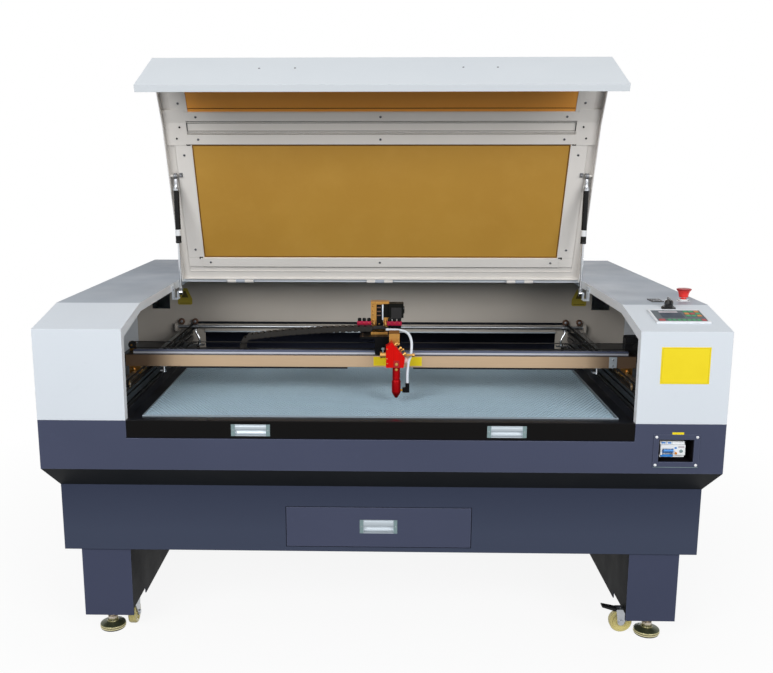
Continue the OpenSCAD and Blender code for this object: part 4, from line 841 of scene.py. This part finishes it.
for k in range(2):
    M = T(1 + 13 * k, 9, 60 - 15.8 * k) @ R("Y", radians(50)) @ T(0, 0, 1)
    p.lathe([(2.4, -3), (2.4, 3), (3.8, 3.4), (3.8, 7.5), (3.2, 8.3), (0, 8.3)], BRASS, M, 14)
for x, n, collar in ((-47, 28, [(8.05, 0), (9.2, 0.5), (9.2, 5.5), (8.05, 6)]),
                     (30, 18, [(3.05, 0), (4.2, 0.6), (4.2, 4.4), (3.05, 5)]),
                     (44.5, 18, [(0, 6.8), (4.4, 6.2), (5.6, 3.4), (5.6, 0)])):
    p.lathe(collar, BRASS, T(x, 0, 34) @ TO_RIGHT, n)
p.lathe([(2.2, -8), (2.2, 4), (4.6, 5), (5.2, 8), (4.4, 10.6), (0, 11.4)], CAPGREY, T(-38, 0, 44), 18)
for z in (12, 26, 54):
    p.screw((-27, -17, z), AHEAD, 2, BRASS, 1.4)
p.done("head", "brass")
p = Piece("tube_screws", BLOCK)
for y, z, r in ((-17.4, 10, 4.4), (-11, -6, 4.6)):
    p.lathe([(r, 0), (r, 1.6), (r * 0.8, 2.4), (0, 2.6)], BRASS, front(0, y, z), 18)
for z in (-36, -33, -30):
    p.lathe([(11.02, -0.8), (11.35, -0.4), (11.35, 0.4), (11.02, 0.8)], RED_TUBE, T(0, 0, z), 32)
p.done("focus_tube", "brass")
p = Piece("block_slot", BLOCK)
# A deeper red plate painted as the shade of a slot in the block
p.box((-8, -17.5, 0.4), (8, -17.02, 21), DEEP_RED, 0.2)
p.done("head", "red_anodised")
p = Piece("focus_drive_details", PLATE)
for x in (-52, -42):
    p.lathe([(3.02, 12), (3.3, 12), (3.3, 52), (3.02, 52)], CHROME, T(x), 16)
p.lathe([(2, 12), (2, 62)], BRASS, T(-47, -8), 12)
for k in range(18):
    p.lathe([(2, 14 + 2.6 * k), (2.5, 15 + 2.6 * k), (2, 16 + 2.6 * k)], BRASS, T(-47, -8), 10)
p.box((-57, -13, 26), (-38, -1, 38), BRASS, 1)
for x, z in ((-70, 78), (-25, 78), (-70, 60), (-25, 24), (-66, 28)):
    p.screw((x, -14, z), AHEAD, 2.3, BRASS, 1.5)
for x in (-68, -30):
    p.lathe([(5.02, 3), (5.9, 3.6), (5.9, 12), (5.02, 12.6)], BRASS, T(x, -17), 18)
    p.lathe([(3.4, 18), (3.4, 21), (0, 21.6)], BRASS, T(x, -17), 6)
for x in (-17, 5):
    p.screw((x, HEAD_Y + 18 - PLATE_Y, 2), AHEAD, 2, BRASS, 1.2)
p.done("head", "brass")
p = Piece("lift_bracket_face")
# The bracket's slot closed by a black plate, painted as the shade inside it
p.box((-9, 354.9, 858), (11, 356, 930), VOID, 0.4)
p.box((11.5, 354.4, 891), (29.2, 356, 933), MOTOR, 0.5)
p.lathe([(1.9, 0), (2.2, 0.4), (2.2, 46), (1.9, 46.4), (0, 46.4)], HOSEM, T(9.6, 352.6, 884), 14)
for x in (-16.1, 18.1):
    p.lathe([(4.2, 0), (5.4, 1), (5.4, 4), (4.4, 5), (4.4, 9), (5.2, 10), (5.2, 16), (3.6, 18), (3.6, 24), (0, 24.6)],
            BRASS, T(x, 351, 859), 16)
for x, z in ((-20, 926), (-6, 934), (6, 934), (-20, 900), (-20, 884), (-1, 871)):
    p.screw((x, 355.4, z), AHEAD, 2.6, BRASS, 2)
for z in (896, 908, 920):
    p.box((-8, 352.8, z), (4, 354.9, z + 3), BRONZE, 0.4)
p.box((-26, 352.4, 932.5), (27, 356, 939.5), BRACKET, 1)
p.done("head", "gold_anodised")
p = Piece("lift_motor_details", PLATE)
p.box((-14, -21.5, 35.5), (17, -21, 70.5), SHEATH, 0.4)
for y in (-15.5, 15.5):
    for z in (40, 68):
        p.screw((23, y, z), (1, 0, 0), 1.8, ZINC, 1.2)
p.cable([(12, 12, 36), (10, 16, 28), (-4, 17, 12), (-24, 15, 4), (-46, 12, 3.5)], 2.4)
p.done("head", "black_plastic")
# The magenta clamps stand on black blocks, higher than their CAD bars, as the photograph has them
p = Piece("clamp_stack", PLATE)
for a, b, y in ((-116, -73.4, -17), (-26, 18, -19.4)):
    p.box((a + 4, y + 1, 0.2), (b - 2, y + 4.6, 17.2), VOID, 0.8)
    p.box((a, y - 4, 17), (b, y + 5, 29.5), MAGENTA, 1.6)
    for k in range(3):
        x = a + (b - a) * (0.17 + 0.33 * k)
        p.lathe([(4.6, 29), (5.6, 29.8), (5.6, 36.4), (4.4, 38.4), (2.2, 38.8), (1.8, 37.6), (0, 37.6)], VOID,
                T(x, y + 0.5), 16)
        p.lathe([(3.2, -0.2), (3.2, 0.8), (2.4, 1.2), (0, 1.2)], DEEP_RED, front(x, y - 4, 23), 12)
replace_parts(p.done("head", "magenta_anodised"), "clamp_bars")
p = Piece("carriage_bolts", PLATE)
for x in (-56, -40, -24, -8):
    p.screw((x, -118, -30), AHEAD, 2, VOID, 1.2)
for x, y in ((-98, -108), (-98, -70), (-60, -108), (-40, -108), (-8, -108)):
    p.screw((x, y, 0), ABOVE, 2.2, BRONZE, 1.2)
for y, z, r in ((-32, 14, 4), (-40, 11, 3.6), (-46, 12.5, 3)):
    p.cable([(-74, y, z - 3), (-56, y, z), (-38, y - 2, z), (-22, -48, 10), (-4, -50, 6)], r, SHEATH, 10)
p.lathe([(0, 15), (6, 13.4), (8.6, 9.6), (9.4, 5.4), (8.6, 1.4), (5, 0)], PINK, front(24, -165, -59), 22)
p.done("head", "zinc")

# ---- Beam: plates, strips, end blocks and clamps
p = Piece("beam_trims")
for a, b in ((-17, 21), (88, 124)):
    p.box((a, 249.4, 765.5), (b, 250, 792), YELLOW, 0.2)
p.box((-585, 252, 755.5), (-93, 262, 761), BLACKP, 0.5)
p.box((99, 252, 755.5), (575, 262, 761), BLACKP, 0.5)
p.box((667, 246.5, 762.5), (689, 250, 794.5), HANDLE, 0.8)
for z in (769, 787):
    p.screw((678, 246.5, z), AHEAD, 2.6, ZINC, 1.4)
for s in (1, -1):
    p.side_box(s, (742, 250.5, 761.5), (745, 309.5, 795.5), BLACKM, 0.5)
p.done("gantry", "beam_aluminium")
p = Piece("beam_clamps")
for s in (1, -1):
    p.box((s * 637 - 9, 262, 757.5), (s * 637 + 9, 292, 761), ZINC, 0.6)
    p.lathe([(3, 0), (3, 14), (5.2, 14.4), (5.2, 18), (3.5, 19.2), (0, 19.4)], CHROME,
            T(s * 637, 268, 758) @ DOWN, 18)
    p.box((s * 637 - 12, 266, 741.5), (s * 637 + 3, 282, 746), ZINC, 0.8)
    for y in (252, 300):
        p.screw((s * 706, y, 757.5), BELOW, 3, BRASS, 1.6)
    p.lathe([(5.5, 0), (6.3, 0.8), (6.3, 5), (5.2, 6), (0, 6.4)], BRASS, front(s * 700, 246, 752), 20)
    p.lathe([(4.5, 0), (5.2, 0.8), (5.2, 4), (4.2, 5), (0, 5.4)], BRASS, front(s * 722, 246, 751), 20)
p.done("gantry", "brass")
p = Piece("x_motor_details")
p.box((736, 311.5, 795), (779, 313.4, 837), ZINC, 0.6)
p.box((734, 355.5, 793), (780, 363, 839), BLACKM, 1)
for x in (742, 772):
    for z in (801, 831):
        p.screw((x, 363, z), BEHIND, 2.2, ZINC, 1.3)
p.cable([(757, 345, 792), (756, 345, 780), (748, 340, 768), (730, 334, 762), (700, 330, 760)], 2.6)
p.done("gantry", "black_plastic")

# ---- Chamber: wall lines, rollers, T brackets, cable clips and tags
p = Piece("wall_trims")
# A black strip along the wall, painted as the shadow of the gap above the rail
p.box((-690, 996.5, 759), (690, 999.8, 767), BLACKP, 0.8)
p.box((-649, 991.4, 728.2), (649, 993, 732.6), HANDLE, 0.4)
for x in range(-600, 601, 200):
    p.screw((x, 993, 744), AHEAD, 3.2, ZINC, 1.6)
p.done("chassis", "black_paint")
p = Piece("rail_rollers")
for s in (1, -1):
    for x in (734, 684):
        M = front(s * x, 991, 769)
        p.lathe([(0, 9), (9, 8.6), (11.4, 6.5), (11.4, 0.5), (9, 0)], BRONZE, M, 22)
        p.lathe([(4.8, 8.8), (4.8, 11), (4, 11.6), (0, 11.8)], SCREW, M, 18)
        p.box((s * x - 6, 988, 757), (s * x + 6, 999.5, 762), BRONZE, 0.8)
p.done("chassis", "brass")
p = Piece("tee_brackets")
for s in (1, -1):
    c = s * 668
    p.box((c - 22, 940, 686), (c + 22, 956, 692), CHROME, 1.2)
    p.box((c - 5, 944, 665), (c + 5, 952, 687), BLACKM, 0.6)
    p.cable([(c - s * 4, 948, 691), (c - s * 6, 948, 706), (c, 949, 722), (c + s * 8, 951, 736),
             (c + s * 7, 953, 746)], 3.8, CHROME, 12, 5)
    p.lathe([(6, 0), (6, 5), (4, 6)], CHROME, T(c - s * 4, 948, 691.5), 16)
p.done("chassis", "bright_steel")
p = Piece("tower_liner_details")
face = 902.6            # the liners' inner face, in X
for s in (1, -1):
    for y, z in ((330, 800), (520, 806), (700, 812)):
        p.side_box(s, (face - 4, y - 9, z - 3), (face, y + 9, z + 3), BLACKM, 0.8)
    p.cable([(s * (face - 5), y, z) for y, z in
             ((300, 790), (340, 802), (420, 796), (520, 808), (620, 800), (720, 814))], 1.8)
    for y in (60, 400, 760):
        for z in (720, 880):
            p.screw((s * face, y, z), (-s, 0, 0), 3, ZINC, 1.6)
    p.lathe([(14, 0), (14, 2), (12, 3), (0, 3)], BLACKM, T(s * face, 620, 742) @ R("Y", -s * pi / 2), 22)
p.done("chassis", "black_plastic")
p = Piece("wall_tags")
tag = [(-9, 62), (9, 62), (27, 22), (27, 4), (22, 0), (-22, 0), (-27, 4), (-27, 22)]
for x in (-722, 732):
    M = front(x, 999.9, 829)
    # The tags' yellow painted olive as shade
    p.prism(tag, 0, 0.6, OLIVE, 0.2, M)
    p.prism([(-2.5, 52), (2.5, 52), (13, 27), (-13, 27)], 0.6, 0.9, OLIVED, 0, M)
    p.prism(rect(-20, 5, 20, 7), 0.6, 0.8, OLIVED, 0, M)
p.done("chassis", "panel_plastic")

# ---- Right tower: yellow plate, panel face, the stop button's and the key's rings, and port inserts
p = Piece("yellow_plate")
p.prism(rect(741, 775, 870, 874), 0, 0.5, YELLOW, 0.2, front(0, -0.02, 0))
for x0, z0, x1, z1 in ((744, 870.2, 867, 871.2), (744, 777.8, 867, 778.8), (744, 778, 745, 871),
                       (866, 778, 867, 871)):
    p.box((x0, -0.72, z0), (x1, -0.5, z1), YELLOWD)
p.done("chassis", "panel_plastic")
p = Piece("panel_face")
M = on_slope(814, 110)
p.box((-66.5, -43.5, 3.5), (66.5, 43.5, 3.9), GREYM, 0.2, M)
p.box((-47, 25, 3.9), (4, 35, 4.3), PALE, 0.3, M)
p.box((-47, -14, 3.9), (12, 22, 4.4), LCD, 0.4, M)
p.box((-44, -11, 4.4), (9, 19, 4.5), LCD, 0, M)
odd = {(1, 1): REDK, (0, 2): ORANGE, (2, 2): ORANGE, (1, 0): ORANGE}
keys = [(-54, -33, 16, 14, REDK), (58, -33, 11, 14, REDK)]
keys += [(-34 + 13 * k, -33, 9, 13, GREEN) for k in range(7)]
keys += [(26 + 15 * c, 33 - 16 * r, 12, 12, odd.get((r, c), GREEN)) for r in range(3) for c in range(3)]
for u, v, w, h, mat in keys:
    p.box((u - w / 2, v - h / 2, 3.9), (u + w / 2, v + h / 2, 4.7), mat, 0.5, M)
p.done("chassis", "panel_plastic")
p = Piece("switch_trims")
stop = T(880, 285, ROOF_Z)
p.lathe([(11.2, 2), (14.6, 2), (14.6, 3.6), (13.4, 5.4), (11.2, 5.5)], WHITEM, stop, 32)
p.lathe([(17.05, 0), (18.4, 0.1), (18.4, 1.2), (17.05, 1.6)], WHITEM, stop, 32)
p.lathe([(12.3, 4), (15.6, 4), (15.2, 6.2), (12.4, 6.8)], KEYM, on_slope(806, 180), 32)
M = T(800, 285, ROOF_Z)
for y in (-12, 12):
    p.box((-9.5, y - 5.5, 2), (9.5, y + 5.5, 2.8), SCREW, 0.3, M)
    # Painted shade in the ports' openings
    p.box((-6, y - 2, 2.8), (6, y + 2, 3), RECESS_SHADE, 0, M)
for x in (-12.5, 12.5):
    for y in (24, -24):
        p.screw((x, y, 2), ABOVE, 1.8, ZINC, 1, M)
p.done("chassis", "white_plastic")

p = Piece("stop_button_skin")
p.lathe([(10.6, 10), (10.6, 11.02), (12.4, 11.04)], WHITEM, stop, 32)
# The button's top in a deeper red, painted as the shade on it
p.lathe([(19.9, 31.2), (20.95, 32.3), (21.3, 33.4), (20.9, 34.9), (19.1, 35.75), (14, 36.15), (8, 35.6), (0, 35.2)],
        DEEP_RED, stop, 48)
p.done("stop_button", "red_plastic")

# ---- Breaker: bezel screws, tag, seams and buttons
p = Piece("breaker_details", ROOM @ T(790, 0, 591))
for x in (-48, 60):
    for z in (-39.5, 38.5):
        p.lathe([(3.9, 0), (3.8, 1), (2.9, 1.9), (1.2, 2.3), (0, 2.4)], WHITEM, front(x, -1.9, z), 20)
p.prism(rect(-7, 45, 24, 51.5), 0, 0.5, YELLOW, 0.1, front(0, -0.02, 0))
p.box((-54, -2.5, -46), (66, -2, -44.8), CAPGREY, 0.2)
for x in (-15.5, -0.5):
    p.box((x - 0.3, 15.7, -21.5), (x + 0.3, 16.1, 21.5), GREYM)
for x0, x1 in ((-29, -18), (-12, -3)):
    p.box((x0, 15.6, 15.5), (x1, 16.1, 19.5), CYAN, 0.2)
p.box((-30, 14.6, -21), (3, 16.1, -15), CYAN, 0.4)
p.lathe([(3.4, 0), (3.3, 2.2), (2.6, 2.8), (0, 2.9)], ORANGE, front(8, 8, -9), 18)
p.lathe([(4.6, 0), (4.5, 1.4), (3.6, 2), (0, 2.1)], CAPGREY, front(22, 8, -3), 20)
p.box((14, 7.6, 6), (30, 8.1, 11), PALE, 0.2)
p.box((4, 7.6, 3), (10, 8.1, 8), CYAN, 0.2)
# Painted shade on the recess walls beside the breaker
p.box((-44, 40, -20), (-33.2, 57, 20), RECESS_SHADE, 0.6)
p.box((33.2, 40, -20), (46, 57, 20), RECESS_SHADE, 0.6)
p.box((-39, 50, -29), (49, 52, -27), ZINC, 0.3)
p.done("chassis", "white_plastic")

# ---- Levelling feet: a ringed disc on a rubber sole, with a nut and a stem
p = Piece("levelling_discs")
for x in (-784, 784):
    for y in (116, 1284):
        M = T(x, y)
        p.lathe([(0, 0), (34.6, 0), (35.6, 1), (35.6, 3.9), (37, 4.2), (37.4, 5.4), (37.4, 7.8), (36.4, 8.4),
                 (36.2, 9.4), (37, 10.2), (37.2, 12.6), (36.4, 14.2), (34, 15.6), (28, 17.2), (20, 19.4),
                 (15.4, 22), (14.6, 24)], FOOT, M, 48)
        p.lathe([(0, 24), (12, 24), (14.8, 25), (14.8, 37), (12, 38), (0, 38)], FOOT, M, 6)
        p.lathe([(8, 37), (8, 56)], FOOT, M, 20)
        for k in range(6):
            p.lathe([(8, 39 + 2.6 * k), (8.7, 40.3 + 2.6 * k), (8, 41.6 + 2.6 * k)], FOOT, M, 20)
        p.lathe([(8, 55), (13, 55), (15, 56), (15, 65.6), (0, 65.6)], FOOT, M, 6)
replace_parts(p.done("chassis", "zinc"), "levelling_feet")

# ---- Handles: grey end caps with their screws
for name, body, y, z0, z1, xs in (("flap_grip_caps", "flap", 2, 623.3, 655.7, (-346.8, 343.4)),
                                  ("drawer_grip_caps", "scrap_drawer", 53, 326.3, 365.7, (0,))):
    p = Piece(name)
    for x in [x + side for x in xs for side in (47.5, -47.5)]:
        p.box((x - 5.2, y - 0.7, z0), (x + 5.2, y - 0.02, z1), CAPGREY, 0.3)
        p.screw((x, y - 0.7, (z0 + z1) / 2), AHEAD, 1.6, ZINC, 0.7)
    p.done(body, "handle_aluminium")

# ---- Hidden sides: service doors with quarter-turn locks, the duct's slats and rear screws
p = Piece("service_doors")


def door(M, x0, x1, locks, slotted):
    """A door on a face whose matrix has Y up and Z outwards, with locks that may show their slots."""
    p.prism(rect(x0, 296, x1, 440), 0, 1.6, BLUE, 0.7, M)
    for x in locks:
        lock = M @ T(x, 420, 0)
        p.lathe([(11, 1.6), (11, 2.8), (9, 3.4), (4, 3.4), (3.6, 2.4), (0, 2.4)], ZINC, lock, 24)
        if slotted:
            # Painted shade in the lock's slot
            p.box((-7, -1.2, 2.3), (7, 1.2, 2.9), RECESS_SHADE, 0, lock)


for s in (1, -1):
    x0, x1 = sorted((s * 180, s * 1220))
    door(T(s * 891, 0, 0) @ R("Z", s * pi / 2) @ R("X", pi / 2), x0, x1, (x0 + 60, (x0 + x1) / 2, x1 - 60), True)
for x0, x1 in ((-860, -480), (-300, -110), (110, 300)):
    door(T(0, DUCT_Y, 0) @ R("Z", pi) @ R("X", pi / 2), x0, x1, (x0 + 30, x1 - 30), False)
p.done("chassis", "blue_paint")
p = Piece("duct_guard")
p.lathe([(69.5, 0), (72.8, 0), (72.8, 18), (69.5, 18), (69.5, 0)], BLACKP,
        T(0, DUCT_Y + 5, DUCT_Z) @ R("X", -pi / 2), 48)
for k in range(-5, 6):
    half = sqrt(70 ** 2 - (12 * k) ** 2)
    p.box((-half, -9, -0.7), (half, 9, 0.7), BLACKP, 0.3, T(0, DUCT_Y + 14, DUCT_Z + 12 * k) @ R("X", pi / 4))
p.done("chassis", "black_paint")
p = Piece("rear_screws")
for x in (-660, -330, 0, 330, 660):
    for z in (690, 935):
        p.screw((x, 1400, z), BEHIND, 4, ZINC, 2.2)
    p.screw((x, 1385, ROOF_Z), ABOVE, 4, ZINC, 2)
for k in range(8):
    a = 2 * pi * (k + 0.5) / 8
    p.screw((83 * cos(a), DUCT_Y + 3, DUCT_Z + 83 * sin(a)), BEHIND, 3.2, ZINC, 2)
p.done("chassis", "zinc")

# ======== floor
bpy.ops.mesh.primitive_plane_add(size=60, location=(0, 0, 0))
floor = bpy.context.object
floor.name = "studio_floor"
fm = bpy.data.materials.new("studio_floor")
f_out, f_pick, f_fade, f_dim, f_lit, f_em, f_co, f_len, f_map = fresh_nodes(
    fm, "OutputMaterial", "MixShader", "MixShader", "BsdfDiffuse", "BsdfDiffuse", "Emission", "TexCoord",
    "VectorMath", "MapRange")
f_len.operation = "LENGTH"
f_dim.inputs[0].default_value = (0.24, 0.24, 0.24, 1)
f_lit.inputs[0].default_value = (0.95, 0.95, 0.95, 1)
f_em.inputs[0].default_value = (1, 1, 1, 1)
f_map.clamp = True
# The camera sees a lit floor near the object and plain white further out, and other rays find it dim
for i, v in enumerate((1, 2.2, 0.9, 1)):
    f_map.inputs[1 + i].default_value = v
wire(fm.node_tree, (f_co.outputs["Object"], f_len, 0), (f_len.outputs["Value"], f_map, "Value"), (f_map, f_fade, 0),
     (f_lit, f_fade, 1), (f_em, f_fade, 2), (seen_rays(fm.node_tree), f_pick, 0), (f_dim, f_pick, 1),
     (f_fade, f_pick, 2), (f_pick, f_out, 0))
floor.data.materials.append(fm)
